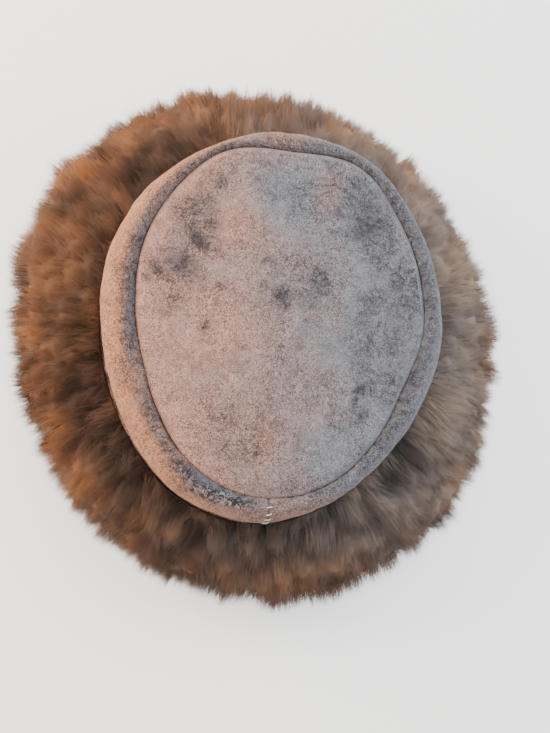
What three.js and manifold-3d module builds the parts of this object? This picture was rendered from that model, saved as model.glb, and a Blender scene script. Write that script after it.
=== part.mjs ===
// A sheepskin pillbox hat, standing on its rim with the crown up, in millimetres.
// It is sewn from three skins: a flat oval tip with its suede side up, a suede side band that rolls over
// the shoulder and is seamed to the tip, and a turned-up cuff with its long fleece outwards.
// +Z is up, +Y points to the wearer's forehead and -Y to the back seam. The origin is on the surface
// that the hat stands on, under the middle of the fleece.
import * as THREE from "three";
import { ParametricGeometry } from "three/addons/geometries/ParametricGeometry.js";
import { mergeVertices } from "three/addons/utils/BufferGeometryUtils.js";
import Module from "manifold-3d";

// Head opening, at the inside of the skin
const OPENING_HALF_WIDTH = 87;
const OPENING_HALF_LENGTH = 102;

// Skins
const SKIN = 2.5; // thickness of the suede and of the cuff's backing
const GAP = 0.3; // between two skins that lie against each other
const FOLD = 3; // thickness of the cuff where it turns under the band

// Heights above the surface
const SHOULDER_HEIGHT = 91; // the crown's widest outline
const RIDGE_RISE = 14; // from the shoulder to the top of the band's roll
const SEAM_DROP = 4; // from the top of the roll down to the tip seam
const TIP_EDGE_RISE = 3; // the puffed edge of the tip over its seam
const TIP_DOME_RISE = 3.5; // the middle of the tip over its puffed edge
const ALLOWANCE = 1.5; // skin below the seam line, trimmed short inside
const CUFF_HEIGHT = 80; // top of the fleece where it meets the band
const FLEECE_MIDDLE = 40; // height where the fleece reaches furthest

// Plan of the hat, in even steps. bearing runs anticlockwise from +X, and the rest are distances from the axis:
// tip is the tip seam, shoulder the widest outline of the suede, fleece the points of the locks.
const PLAN = [
  { bearing: 0, tip: 87.5, shoulder: 101.5, fleece: 160 },
  { bearing: 22.5, tip: 90.5, shoulder: 103, fleece: 158 },
  { bearing: 45, tip: 97, shoulder: 108.5, fleece: 159 },
  { bearing: 67.5, tip: 107, shoulder: 115.5, fleece: 162 },
  { bearing: 90, tip: 102, shoulder: 116, fleece: 164 },
  { bearing: 112.5, tip: 104, shoulder: 112, fleece: 170 },
  { bearing: 135, tip: 95.5, shoulder: 108.5, fleece: 171 },
  { bearing: 157.5, tip: 88, shoulder: 105.5, fleece: 167 },
  { bearing: 180, tip: 82, shoulder: 101, fleece: 162 },
  { bearing: 202.5, tip: 81, shoulder: 101, fleece: 157 },
  { bearing: 225, tip: 87, shoulder: 106, fleece: 160 },
  { bearing: 247.5, tip: 98, shoulder: 114.5, fleece: 163 },
  { bearing: 270, tip: 103.5, shoulder: 117, fleece: 166 },
  { bearing: 292.5, tip: 99.5, shoulder: 110, fleece: 171 },
  { bearing: 315, tip: 90.5, shoulder: 103, fleece: 172 },
  { bearing: 337.5, tip: 84, shoulder: 100, fleece: 166 },
];

// Side wall of the band, from the rim up. flare is the share of the way from the opening to the shoulder.
const WALL = [
  { height: FOLD + GAP, flare: 0 },
  { height: 26, flare: 0.08 },
  { height: 50, flare: 0.32 },
  { height: 70, flare: 0.66 },
  { height: 82, flare: 0.9 },
];
const RIDGE_AT = 0.6; // share of the roll's width that lies outside its top

// Rings of the tip, as shares of its flat part, from the middle out
const TIP_RINGS = [0, 0.3, 0.58, 0.82, 1];
const TIP_EDGE_WIDTH = 7; // how far the puffed edge reaches in from the seam
// Shallow hollows and swells of the slack tip: place, radius and how far it stands up or down
const TIP_DENTS = [
  { x: -34, y: 30, radius: 34, rise: -1.6 },
  { x: 30, y: 46, radius: 36, rise: -1.3 },
  { x: 26, y: -30, radius: 40, rise: -1.4 },
  { x: -28, y: -42, radius: 30, rise: -1.2 },
];

// Where the band's two ends meet
const BACK_SEAM_BEARING = 273;
const BACK_SEAM_GAP = 0.4;

// Rows of locks, from the top of the cuff down. from and to are the angles above the level, seen from the
// middle of the fleece, where a lock leaves the packed fleece and where it ends; width is across its thick part.
const LOCK_ROWS = [
  { from: 100, to: 56, width: 27 },
  { from: 76, to: 32, width: 27 },
  { from: 46, to: 8, width: 27 },
  { from: 18, to: -18, width: 26 },
  { from: -12, to: -47, width: 24 },
];
const LOCKS_IN_ROW = 22;
const LOCK_SINK = 5; // depth of a lock's root under the packed fleece
const LOCK_OVERHANG = 7; // how far its point stands out
const LOCK_RIDGE = 0.55; // height of a lock's ridge over its middle line, as a share of half its width
const LOCK_KEEL = 1.5; // and how far its underside goes down into the packed fleece
const LOCK_SWAY = 7; // how far a point may lie to one side of its root, in degrees
const LOCK_DROOP = 5; // and above or below its place
const LOCK_SPREAD = 0.25; // how far a root may lie from its place, as a share of the room for one lock
const SHORTEST_OVERHANG = 0.4; // shares of LOCK_OVERHANG and of the width
const NARROWEST_LOCK = 0.85;
const WIDEST_LOCK = 1.15;
const LOCK_MIDDLE = 0.55; // where along its length a lock crosses the packed fleece
const LOCK_SIDES = 4;
const LOCK_SHAPE = [
  { along: 0, size: 0.55 },
  { along: 0.35, size: 1 },
  { along: 0.72, size: 0.66 },
];
const FULLNESS = 2.4; // 2 gives the packed fleece a round section, and more a squarer one
const FLEECE_STEPS = 8;
const FLEECE_END = 80; // the packed fleece starts and ends at this angle above and below the level
const FOLD_WIDTH = 9; // of the flat ring that the hat stands on
const GROUND_CLEARANCE = 0.6; // the fleece brushes the surface, and the fold stands on it

const COLUMNS = 44; // sides of each outline
const CUTTER = 500; // wider than the hat

const wasm = await Module();
wasm.setup();

/** A value of the plan at any bearing, on a smooth closed curve through its rows. */
function plan(column, bearing) {
  const place = bearing / (360 / PLAN.length);
  const row = Math.floor(place);
  const t = place - row;
  const at = (step) => PLAN[(row + step + PLAN.length) % PLAN.length][column];
  const [before, from, to, after] = [at(-1), at(0), at(1), at(2)];
  const pull = (to - before) * t + (2 * before - 5 * from + 4 * to - after) * t ** 2;
  return from + 0.5 * (pull + (3 * (from - to) + after - before) * t ** 3);
}

/** Distance from the axis to the outside of the band at the rim. */
function rim(bearing) {
  const a = THREE.MathUtils.degToRad(bearing);
  const x = Math.cos(a) / (OPENING_HALF_WIDTH + SKIN);
  const y = Math.sin(a) / (OPENING_HALF_LENGTH + SKIN);
  return 1 / Math.hypot(x, y);
}

/** Distance from the axis to the outside of the band's wall at a height below the shoulder. */
function wall(bearing, height) {
  const rows = [...WALL, { height: SHOULDER_HEIGHT, flare: 1 }];
  const next = Math.max(1, rows.findIndex((row) => row.height >= height));
  const [low, high] = [rows[next - 1], rows[next]];
  const share = (height - low.height) / (high.height - low.height);
  const flare = THREE.MathUtils.lerp(low.flare, high.flare, THREE.MathUtils.clamp(share, 0, 1));
  return THREE.MathUtils.lerp(rim(bearing), plan("shoulder", bearing), flare);
}

/** Points of a quarter ellipse from angle `from` to `to` in degrees, in `steps` steps after its start. */
function quarter(centre, half, from, to, steps) {
  return Array.from({ length: steps }, (_, i) => {
    const a = THREE.MathUtils.degToRad(THREE.MathUtils.lerp(from, to, (i + 1) / steps));
    return new THREE.Vector2(centre.x + half.x * Math.cos(a), centre.y + half.y * Math.sin(a));
  });
}

/** The band's section: up the wall, over the roll, down the seam allowance and back along the inside. */
function bandSection(bearing) {
  const shoulder = plan("shoulder", bearing);
  const seam = plan("tip", bearing) + GAP / 2;
  const ridge = THREE.MathUtils.lerp(shoulder, seam, RIDGE_AT);
  const ridgeHeight = SHOULDER_HEIGHT + RIDGE_RISE;
  const seamHeight = ridgeHeight - SEAM_DROP;
  const outerArc = { x: shoulder - ridge, y: RIDGE_RISE };
  const innerArc = { x: ridge - seam, y: SEAM_DROP };
  const thin = (half) => ({ x: half.x - SKIN, y: Math.max(half.y - SKIN, 1) });
  const underRidge = new THREE.Vector2(ridge, ridgeHeight - thin(innerArc).y - SKIN);
  const outside = [
    ...WALL.map((row) => new THREE.Vector2(wall(bearing, row.height), row.height)),
    new THREE.Vector2(shoulder, SHOULDER_HEIGHT),
    ...quarter({ x: ridge, y: SHOULDER_HEIGHT }, outerArc, 0, 90, 5),
    ...quarter({ x: ridge, y: seamHeight }, innerArc, 90, 180, 4),
    new THREE.Vector2(seam, seamHeight - ALLOWANCE),
  ];
  const inside = [
    new THREE.Vector2(seam + SKIN, seamHeight - ALLOWANCE),
    new THREE.Vector2(seam + SKIN, underRidge.y),
    ...quarter(underRidge, thin(innerArc), 180, 90, 2),
    ...quarter({ x: ridge, y: SHOULDER_HEIGHT }, thin(outerArc), 90, 0, 3),
    ...WALL.map((row) => new THREE.Vector2(wall(bearing, row.height) - SKIN, row.height)).reverse(),
  ];
  return [...outside, ...inside];
}

/** How far the slack tip stands up or down at a place. */
function dentRise(x, y) {
  return TIP_DENTS.reduce((sum, dent) => {
    const away = Math.hypot(x - dent.x, y - dent.y) / dent.radius;
    return sum + (away < 1 ? dent.rise * Math.cos((away * Math.PI) / 2) ** 2 : 0);
  }, 0);
}

/** The tip's section: from under the middle to the allowance, up its outside and back over the puffed edge. */
function tipSection(bearing) {
  const seam = plan("tip", bearing) - GAP / 2;
  const flat = seam - TIP_EDGE_WIDTH;
  const seamHeight = SHOULDER_HEIGHT + RIDGE_RISE - SEAM_DROP;
  const flatRow = (share, drop) => {
    const place = around(bearing, new THREE.Vector2(flat * share, 0));
    const fade = 1 - share ** 2;
    const rise = TIP_DOME_RISE * fade + dentRise(place.x, place.y) * Math.min(1, 3 * fade);
    return new THREE.Vector2(flat * share, seamHeight + TIP_EDGE_RISE + rise - drop);
  };
  const innerEdge = { x: TIP_EDGE_WIDTH - SKIN, y: TIP_EDGE_RISE - SKIN + ALLOWANCE };
  const outerEdge = { x: TIP_EDGE_WIDTH, y: TIP_EDGE_RISE };
  return [
    ...TIP_RINGS.map((share) => flatRow(share, SKIN)),
    ...quarter({ x: flat, y: seamHeight - ALLOWANCE }, innerEdge, 90, 0, 2),
    new THREE.Vector2(seam, seamHeight - ALLOWANCE),
    new THREE.Vector2(seam, seamHeight),
    ...quarter({ x: flat, y: seamHeight }, outerEdge, 0, 90, 4),
    ...TIP_RINGS.slice(0, -1).reverse().map((share) => flatRow(share, 0)),
  ];
}

/** A point of the packed fleece at an angle above the level, in the section at a bearing, or off its surface. */
function fleecePoint(bearing, elevation, standOff = 0) {
  const a = THREE.MathUtils.degToRad(elevation);
  const [c, s] = [Math.cos(a), Math.sin(a)];
  const root = wall(bearing, FLEECE_MIDDLE) + GAP + SKIN;
  const out = plan("fleece", bearing) - LOCK_OVERHANG - root;
  const up = s > 0 ? CUFF_HEIGHT - FLEECE_MIDDLE : FLEECE_MIDDLE - GROUND_CLEARANCE;
  const size = 1 / ((Math.abs(c) / out) ** FULLNESS + (Math.abs(s) / up) ** FULLNESS) ** (1 / FULLNESS);
  return new THREE.Vector2(root + (size + standOff) * c, FLEECE_MIDDLE + (size + standOff) * s);
}

/** The section of the skin and packed fleece, from the bottom up, before the band's room is cut out. */
function fleeceSection(bearing) {
  const inner = rim(bearing) - SKIN;
  const outside = Array.from({ length: FLEECE_STEPS }, (_, i) =>
    fleecePoint(bearing, THREE.MathUtils.lerp(-FLEECE_END, FLEECE_END, i / (FLEECE_STEPS - 1))),
  );
  return [new THREE.Vector2(inner, GROUND_CLEARANCE), ...outside, new THREE.Vector2(inner, CUFF_HEIGHT)];
}

/** The section of the fold under the band, which the hat stands on. */
function foldSection(bearing) {
  const inner = rim(bearing) - SKIN;
  return [
    new THREE.Vector2(inner, 0),
    new THREE.Vector2(inner + FOLD_WIDTH, 0),
    new THREE.Vector2(inner + FOLD_WIDTH, FOLD),
    new THREE.Vector2(inner, FOLD),
  ];
}

/** The section of the room that the band takes up inside the cuff, with the gap round it. */
function roomSection(bearing) {
  const side = (height) => new THREE.Vector2(wall(bearing, height) + GAP, height);
  const heights = [...WALL.map((row) => row.height), SHOULDER_HEIGHT];
  return [
    new THREE.Vector2(0, FOLD),
    new THREE.Vector2(rim(bearing) + GAP, FOLD),
    ...heights.map(side),
    new THREE.Vector2(plan("shoulder", bearing) + GAP, SHOULDER_HEIGHT + RIDGE_RISE),
    new THREE.Vector2(0, SHOULDER_HEIGHT + RIDGE_RISE),
  ];
}

/**
 * A closed body swept round the axis from a section that is worked out again at each bearing. A section runs
 * anticlockwise in radius and height, and either starts and ends on the axis or closes on itself.
 */
function sweep(section) {
  const rings = Array.from({ length: COLUMNS }, (_, i) => section((360 * i) / COLUMNS));
  const onAxis = rings[0][0].x === 0;
  const rows = rings[0].length - (onAxis ? 1 : 0);
  const place = (u, v, target) => {
    const column = Math.round(u * COLUMNS);
    const ring = rings[column % COLUMNS];
    const point = ring[Math.round(v * rows) % ring.length];
    const a = (2 * Math.PI * column) / COLUMNS;
    target.set(point.x * Math.cos(a), point.x * Math.sin(a), point.y);
  };
  return new ParametricGeometry(place, COLUMNS, rows);
}

/** A share from 0 to 1 that looks random and is always the same for the same two numbers. */
function scatter(index, salt) {
  const value = Math.sin(index * 12.9898 + salt * 78.233) * 43758.5453;
  return value - Math.floor(value);
}

/** A point at a bearing, from its radius and height in that section. */
function around(bearing, point) {
  const a = THREE.MathUtils.degToRad(bearing);
  return new THREE.Vector3(point.x * Math.cos(a), point.x * Math.sin(a), point.y);
}

/** One lock: a tapered tuft that lies along the packed fleece from its root and stands out at its point. */
function lock(row, index) {
  const rowNumber = LOCK_ROWS.indexOf(row);
  const number = rowNumber * LOCKS_IN_ROW + index;
  const within = (salt, low, high) => THREE.MathUtils.lerp(low, high, scatter(number, salt));
  const place = index + (rowNumber % 2) / 2 + within(1, -LOCK_SPREAD, LOCK_SPREAD);
  const root = (place * 360) / LOCKS_IN_ROW;
  const sway = within(2, -LOCK_SWAY, LOCK_SWAY);
  const droop = within(3, -LOCK_DROOP, LOCK_DROOP);
  const overhang = LOCK_OVERHANG * within(4, 1, SHORTEST_OVERHANG);
  const at = (along, standOff) => {
    const bearing = (root + sway * along ** 2 + 360) % 360;
    const elevation = THREE.MathUtils.lerp(row.from, row.to + droop, along);
    return around(bearing, fleecePoint(bearing, elevation, standOff));
  };
  const spine = new THREE.QuadraticBezierCurve3(at(0, -LOCK_SINK), at(LOCK_MIDDLE, 0), at(1, overhang));
  const halfWidth = (row.width / 2) * within(5, NARROWEST_LOCK, WIDEST_LOCK);
  const profile = LOCK_SHAPE.map(({ along, size }) => new THREE.Vector2(halfWidth * size, along));
  const points = [new THREE.Vector2(0, 0), ...profile, new THREE.Vector2(0, 1)];
  return bendAlong(new THREE.LatheGeometry(points, LOCK_SIDES), spine, root);
}

/** Lays a shape that stands along +Y from 0 to 1 onto a curve, low on its outer side and deep on its inner. */
function bendAlong(geometry, spine, bearing) {
  const position = geometry.getAttribute("position");
  const tangent = around(bearing + 90, new THREE.Vector2(1, 0));
  const out = new THREE.Vector3();
  const side = new THREE.Vector3();
  for (let i = 0; i < position.count; i++) {
    const [x, along, z] = [position.getX(i), position.getY(i), position.getZ(i)];
    const way = spine.getTangent(along);
    out.crossVectors(way, tangent).normalize();
    side.crossVectors(out, way);
    const height = -z * (z < 0 ? LOCK_RIDGE : LOCK_KEEL);
    const point = spine.getPoint(along).addScaledVector(side, x).addScaledVector(out, height);
    position.setXYZ(i, point.x, point.y, point.z);
  }
  return geometry;
}

/** A geometry as a solid that can be joined and cut. */
function solid(geometry) {
  const bare = geometry.clone();
  for (const name of ["normal", "uv"]) bare.deleteAttribute(name);
  const merged = mergeVertices(bare, 1e-3);
  return new wasm.Manifold(
    new wasm.Mesh({
      numProp: 3,
      vertProperties: merged.attributes.position.array,
      triVerts: new Uint32Array(merged.index.array),
    }),
  );
}

/** A solid's surface as a geometry. */
function surface(body) {
  const mesh = body.getMesh();
  const geometry = new THREE.BufferGeometry();
  geometry.setAttribute("position", new THREE.BufferAttribute(mesh.vertProperties, 3));
  geometry.setIndex(new THREE.BufferAttribute(mesh.triVerts, 1));
  geometry.computeVertexNormals();
  return geometry;
}

function crownTip() {
  const material = new THREE.MeshStandardMaterial({ color: 0xa89a96, roughness: 0.95, metalness: 0 });
  const mesh = new THREE.Mesh(sweep(tipSection), material);
  mesh.name = "crown_tip";
  return mesh;
}

/** The side band, a strip whose two ends meet at the back seam. */
function sideBand() {
  const slot = new THREE.BoxGeometry(CUTTER, BACK_SEAM_GAP, CUTTER);
  slot.translate(CUTTER / 2, 0, 0);
  slot.rotateZ(THREE.MathUtils.degToRad(BACK_SEAM_BEARING));
  const band = solid(sweep(bandSection)).subtract(solid(slot));
  const material = new THREE.MeshStandardMaterial({ color: 0x9c8d88, roughness: 0.95, metalness: 0 });
  const mesh = new THREE.Mesh(surface(band), material);
  mesh.name = "side_band";
  return mesh;
}

/** The turned-up cuff: skin and packed fleece with the locks joined on, clear of the band and the ground. */
function fleeceCuff() {
  let fleece = solid(sweep(fleeceSection));
  for (const row of LOCK_ROWS) {
    for (let index = 0; index < LOCKS_IN_ROW; index++) fleece = fleece.add(solid(lock(row, index)));
  }
  const ground = new THREE.BoxGeometry(CUTTER, CUTTER, CUTTER);
  ground.translate(0, 0, GROUND_CLEARANCE - CUTTER / 2);
  const clear = fleece.subtract(solid(ground)).subtract(solid(sweep(roomSection)));
  const cuff = clear.add(solid(sweep(foldSection)));
  const material = new THREE.MeshStandardMaterial({ color: 0x7a5c48, roughness: 1, metalness: 0 });
  const mesh = new THREE.Mesh(surface(cuff), material);
  mesh.name = "fleece_cuff";
  return mesh;
}

const hat = new THREE.Group();
hat.add(crownTip(), sideBand(), fleeceCuff());

export default hat;
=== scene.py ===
"""Dresses a sheepskin pillbox hat: suede crown, rolled side band and a deep turned-up cuff of long fleece.

The outlines, heights and reliefs are worked out in millimetres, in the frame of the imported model: +Z up out
of the crown, +Y to the wearer's forehead. Meshes are written in metres. A bearing is an angle in degrees from
+X, and an elevation is an angle above the level in the wool's section.
"""

import logging
import math
from dataclasses import dataclass, field
from enum import Enum
from typing import Any, NamedTuple

import bpy
import numpy as np
from mathutils import Matrix, Vector, kdtree


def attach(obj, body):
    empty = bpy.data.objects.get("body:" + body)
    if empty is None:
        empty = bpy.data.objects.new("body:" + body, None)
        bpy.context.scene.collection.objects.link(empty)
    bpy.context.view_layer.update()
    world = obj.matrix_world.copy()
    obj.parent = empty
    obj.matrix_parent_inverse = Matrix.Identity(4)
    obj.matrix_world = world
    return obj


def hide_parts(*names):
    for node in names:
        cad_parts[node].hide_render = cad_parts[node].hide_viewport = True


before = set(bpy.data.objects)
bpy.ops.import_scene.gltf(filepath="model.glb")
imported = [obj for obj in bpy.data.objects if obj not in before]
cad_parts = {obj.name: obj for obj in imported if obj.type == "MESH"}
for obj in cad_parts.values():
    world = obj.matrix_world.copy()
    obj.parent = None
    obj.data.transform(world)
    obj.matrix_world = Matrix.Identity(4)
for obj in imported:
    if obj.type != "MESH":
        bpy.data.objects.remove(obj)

MM = 0.001
LOG = logging.getLogger("hat")
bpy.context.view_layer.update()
Colour = tuple[float, float, float]
Array = np.ndarray
Piece = bpy.types.Object


class Slot(Enum):
    """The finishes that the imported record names."""

    TIP = "suede_tip"
    BAND = "suede_band"
    FLEECE = "fleece"


class Hold(Enum):
    """How a skin is held on the hat."""

    STRETCHED = "stretched"
    FOLDED = "folded"


class PlanRow(NamedTuple):
    """Distances from the axis at one bearing, seen from above."""

    tip: float
    shoulder: float
    fleece: float


class Dent(NamedTuple):
    """A round rise or hollow of the slack tip."""

    x: float
    y: float
    radius: float
    rise: float


class Stain(NamedTuple):
    """A soft dark patch of the suede, an oval turned by an angle from +X."""

    x: float
    y: float
    half_length: float
    half_width: float
    turn: float
    depth: float


class Cloud(NamedTuple):
    """A broad soft patch of the suede, greyer or paler and warmer or cooler than the rest; along the band's
    seam, painted shade.
    """

    x: float
    y: float
    half_length: float
    half_width: float
    turn: float
    grey: float
    warmth: float


class Valley(NamedTuple):
    """A soft hollow or pucker that runs along the band, between two bearings."""

    start: float
    end: float
    along: float
    width: float
    depth: float


class SeamShade(NamedTuple):
    """How dark the painted shade in the seam round the tip is at a bearing."""

    bearing: float
    dark: float


# The rows below have their class's columns, in that order, in mm and degrees. The plan's rows are in even
# steps of 22.5 degrees, from +X towards +Y.
PLAN = (
    PlanRow(87.5, 101.5, 160.0),
    PlanRow(90.5, 103.0, 158.0),
    PlanRow(97.0, 108.5, 159.0),
    PlanRow(107.0, 115.5, 162.0),
    PlanRow(102.0, 116.0, 164.0),
    PlanRow(104.0, 112.0, 170.0),
    PlanRow(95.5, 108.5, 171.0),
    PlanRow(88.0, 105.5, 167.0),
    PlanRow(82.0, 101.0, 162.0),
    PlanRow(81.0, 101.0, 157.0),
    PlanRow(87.0, 106.0, 160.0),
    PlanRow(98.0, 114.5, 163.0),
    PlanRow(103.5, 117.0, 166.0),
    PlanRow(99.5, 110.0, 171.0),
    PlanRow(90.5, 103.0, 172.0),
    PlanRow(84.0, 100.0, 166.0),
)

TIP_DENTS = (
    Dent(-34.0, 30.0, 34.0, -1.6),
    Dent(30.0, 46.0, 36.0, -1.3),
    Dent(26.0, -30.0, 40.0, -1.4),
    Dent(-28.0, -42.0, 30.0, -1.2),
)

TIP_STAINS = (
    Stain(-58.0, 58.0, 15.0, 8.0, 35.0, 0.62),
    Stain(-46.0, 52.0, 13.0, 4.5, -72.0, 0.62),
    Stain(-64.0, 44.0, 12.0, 5.0, 80.0, 0.42),
    Stain(-50.5, 36.5, 8.0, 4.5, -38.0, 0.85),
    Stain(-57.0, 22.0, 12.0, 6.0, -35.0, 0.85),
    Stain(-71.0, 17.0, 7.0, 3.5, -28.0, 0.72),
    Stain(-77.0, 12.5, 4.0, 3.0, 0.0, 0.6),
    Stain(-42.6, 74.5, 5.5, 4.0, 20.0, 0.62),
    Stain(-42.7, 53.0, 4.0, 1.2, -60.0, 0.6),
    Stain(-62.0, -3.0, 7.0, 5.0, 40.0, 0.45),
    Stain(-41.5, -11.0, 3.6, 2.6, 60.0, 0.9),
    Stain(-42.5, -18.0, 5.0, 2.0, 70.0, 0.5),
    Stain(-38.5, -28.5, 4.0, 2.4, 30.0, 0.55),
    Stain(-43.5, -34.0, 4.0, 2.2, 30.0, 0.45),
    Stain(-20.0, -21.5, 3.4, 2.2, 20.0, 0.6),
    Stain(-17.0, -34.0, 3.4, 2.2, 80.0, 0.5),
    Stain(-42.0, -50.0, 10.0, 1.6, -42.0, 0.5),
    Stain(-36.5, 14.0, 3.0, 2.0, 0.0, 0.6),
    Stain(-10.5, 32.0, 4.0, 2.6, 40.0, 0.72),
    Stain(-6.5, 24.0, 10.0, 5.0, 70.0, 0.42),
    Stain(-12.5, 17.0, 3.4, 2.2, 0.0, 0.65),
    Stain(-0.5, 12.0, 6.0, 4.5, 80.0, 0.9),
    Stain(3.0, 6.0, 5.0, 3.0, 60.0, 0.65),
    Stain(48.0, 66.0, 14.0, 9.0, 70.0, 0.62),
    Stain(40.5, 90.0, 6.0, 3.4, 80.0, 0.72),
    Stain(28.5, 67.0, 3.2, 2.2, 0.0, 0.5),
    Stain(56.0, 46.0, 9.0, 6.0, 60.0, 0.45),
    Stain(22.0, 95.0, 9.0, 2.2, -40.0, 0.5),
    Stain(23.8, 20.0, 5.0, 2.4, 80.0, 0.6),
    Stain(18.6, 9.0, 4.0, 2.4, 45.0, 0.55),
    Stain(16.0, -1.0, 3.6, 2.2, 60.0, 0.5),
    Stain(54.6, 34.0, 5.0, 3.4, 50.0, 0.6),
    Stain(68.0, 30.0, 6.0, 4.0, 60.0, 0.5),
    Stain(56.0, 17.0, 8.0, 5.0, 40.0, 0.5),
    Stain(51.0, 11.0, 4.0, 3.0, 0.0, 0.5),
    Stain(52.0, -17.0, 22.0, 12.0, -48.0, 0.42),
    Stain(51.5, -36.0, 5.0, 3.2, 60.0, 1.0),
    Stain(49.0, -43.0, 5.0, 2.4, 80.0, 0.95),
    Stain(54.5, -50.0, 5.0, 2.4, 70.0, 0.62),
    Stain(72.0, -12.0, 30.0, 9.0, -82.0, 0.4),
    Stain(36.5, -60.0, 4.0, 2.6, 20.0, 0.55),
    Stain(37.0, -49.0, 3.4, 2.2, 0.0, 0.5),
    Stain(13.0, -16.0, 3.4, 2.4, 30.0, 0.55),
    Stain(11.4, -31.0, 3.2, 2.0, 60.0, 0.5),
    Stain(71.0, -40.5, 4.0, 2.8, 60.0, 0.6),
    Stain(18.0, -72.0, 8.0, 1.6, 85.0, 0.4),
    Stain(-2.0, -67.0, 6.0, 1.6, 40.0, 0.4),
)

TIP_CLOUDS = (
    Cloud(-57.0, 42.0, 25.0, 11.0, 63.0, 0.55, -0.1),
    Cloud(-65.0, 22.0, 13.0, 7.0, -20.0, 0.5, -0.1),
    Cloud(46.0, 67.0, 24.0, 13.0, -59.0, 0.8, -0.35),
    Cloud(24.0, 79.0, 13.0, 9.0, 80.0, 0.15, 0.45),
    Cloud(-3.0, 72.0, 26.0, 20.0, 0.0, 0.3, -0.35),
    Cloud(11.0, 21.0, 24.0, 16.0, 0.0, 0.35, 0.0),
    Cloud(22.0, 25.0, 10.0, 4.0, 80.0, 0.65, -0.1),
    Cloud(72.0, 27.0, 20.0, 11.0, -75.0, 0.6, -0.1),
    Cloud(63.0, 2.0, 26.0, 20.0, -70.0, 0.35, 0.0),
    Cloud(38.0, -13.0, 22.0, 14.0, -20.0, -0.25, -0.15),
    Cloud(44.0, -71.0, 26.0, 14.0, 45.0, -0.2, -0.3),
    Cloud(59.0, -16.0, 14.0, 8.0, 20.0, -0.2, -0.05),
    Cloud(-18.0, -80.0, 18.0, 14.0, -20.0, 0.45, 0.05),
    Cloud(-1.0, -75.0, 14.0, 6.0, 90.0, 0.1, 0.35),
    Cloud(-29.0, -17.0, 26.0, 20.0, 20.0, -0.25, 0.15),
    Cloud(-31.0, 57.0, 20.0, 12.0, 80.0, -0.15, 0.25),
    Cloud(67.0, -36.0, 12.0, 10.0, 40.0, 0.35, 0.0),
    Cloud(-25.0, -60.0, 16.0, 10.0, 30.0, 0.3, 0.0),
    Cloud(6.0, -99.0, 32.0, 7.0, 5.0, 0.4, 0.0),
    Cloud(-66.0, 2.0, 14.0, 10.0, 60.0, 0.25, 0.05),
    Cloud(-45.0, 81.0, 14.0, 9.0, 35.0, 0.35, 0.1),
)

BAND_STAINS = (
    Stain(7.0, 107.0, 12.0, 3.5, 6.0, 0.5),
    Stain(-57.0, -76.0, 28.0, 4.0, -52.0, 0.5),
    Stain(-42.0, -94.0, 12.0, 3.5, -45.0, 0.6),
    Stain(-22.0, -105.0, 24.0, 5.0, -14.0, 0.72),
    Stain(68.0, -62.0, 14.0, 5.0, 46.0, 0.4),
    Stain(80.5, -26.0, 11.0, 3.4, 70.0, 0.45),
    Stain(73.0, 62.0, 12.0, 5.0, -55.0, 0.5),
    Stain(88.0, 20.0, 16.0, 5.0, -80.0, 0.45),
    Stain(-84.0, -10.0, 34.0, 4.0, -88.0, 0.4),
    Stain(-74.0, 45.0, 32.0, 3.6, 62.0, 0.45),
)

# Darker, cooler strips along the band's seam: painted shade in the seam, together with the suede's own
# greying.
BAND_SEAM_SHADE_CLOUDS = (
    Cloud(81.0, -25.0, 15.0, 5.0, 68.0, 1.5, -0.5),
    Cloud(66.0, -58.0, 18.0, 5.0, 50.0, 0.5, -0.2),
    Cloud(-24.0, -99.0, 26.0, 5.0, -16.0, 0.6, -0.5),
    Cloud(-82.0, -8.0, 38.0, 4.0, -88.0, 0.35, -0.3),
)

# Painted shade in the seam round the tip, strongest on the -X side, where the groove faces away from the key
# light.
SEAM_SHADE = (
    SeamShade(0.0, 0.2),
    SeamShade(25.0, 0.1),
    SeamShade(60.0, 0.0),
    SeamShade(105.0, 0.0),
    SeamShade(135.0, 0.25),
    SeamShade(155.0, 0.9),
    SeamShade(215.0, 1.0),
    SeamShade(240.0, 0.7),
    SeamShade(265.0, 0.75),
    SeamShade(285.0, 0.2),
    SeamShade(315.0, 0.15),
    SeamShade(338.0, 0.5),
    SeamShade(360.0, 0.2),
)

# How far along the roll a place lies is 0 at the shoulder, 1 on the ridge, 1.4 at the seam and more below it.
AT_SEAM = 1.4
BELOW_SEAM = 1.5
BAND_VALLEYS = (
    Valley(208.0, 252.0, 1.05, 0.30, 1.5),
    Valley(120.0, 208.0, 1.15, 0.22, 0.7),
    Valley(72.0, 100.0, 1.05, 0.25, 0.9),
    Valley(2.0, 48.0, 1.0, 0.26, 0.8),
    Valley(334.0, 350.0, 0.95, 0.30, 1.3),
    Valley(300.0, 330.0, 0.8, 0.30, 0.7),
)


def blend(low: Any, high: Any, share: Any) -> Any:
    """The value part of the way from one to another."""
    return low + (high - low) * share


def smooth(value: Array, low: float, high: float) -> Array:
    """A soft step from 0 at `low` to 1 at `high`."""
    share = np.clip((value - low) / (high - low), 0.0, 1.0)
    return share * share * (3.0 - 2.0 * share)


def bell(away: Array, width: float) -> Array:
    """A soft bump, 1 in its middle and about a third at its width from there."""
    return np.exp(-((away / width) ** 2))


def even_bearings(count: int) -> Array:
    """Bearings in even steps all round."""
    return np.arange(count) * 360.0 / count


def spiral(count: int) -> tuple[Array, Array]:
    """Bearings, and shares of the way up, that spread places evenly round the coat."""
    index = np.arange(count)
    golden = (math.sqrt(5.0) - 1.0) / 2.0
    return 360.0 * (index * golden % 1.0), (index + 0.5) / count


def unit(vectors: Array) -> Array:
    """Vectors of length 1 that point the same ways."""
    return vectors / np.maximum(np.linalg.norm(vectors, axis=-1, keepdims=True), 1e-6)


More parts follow.
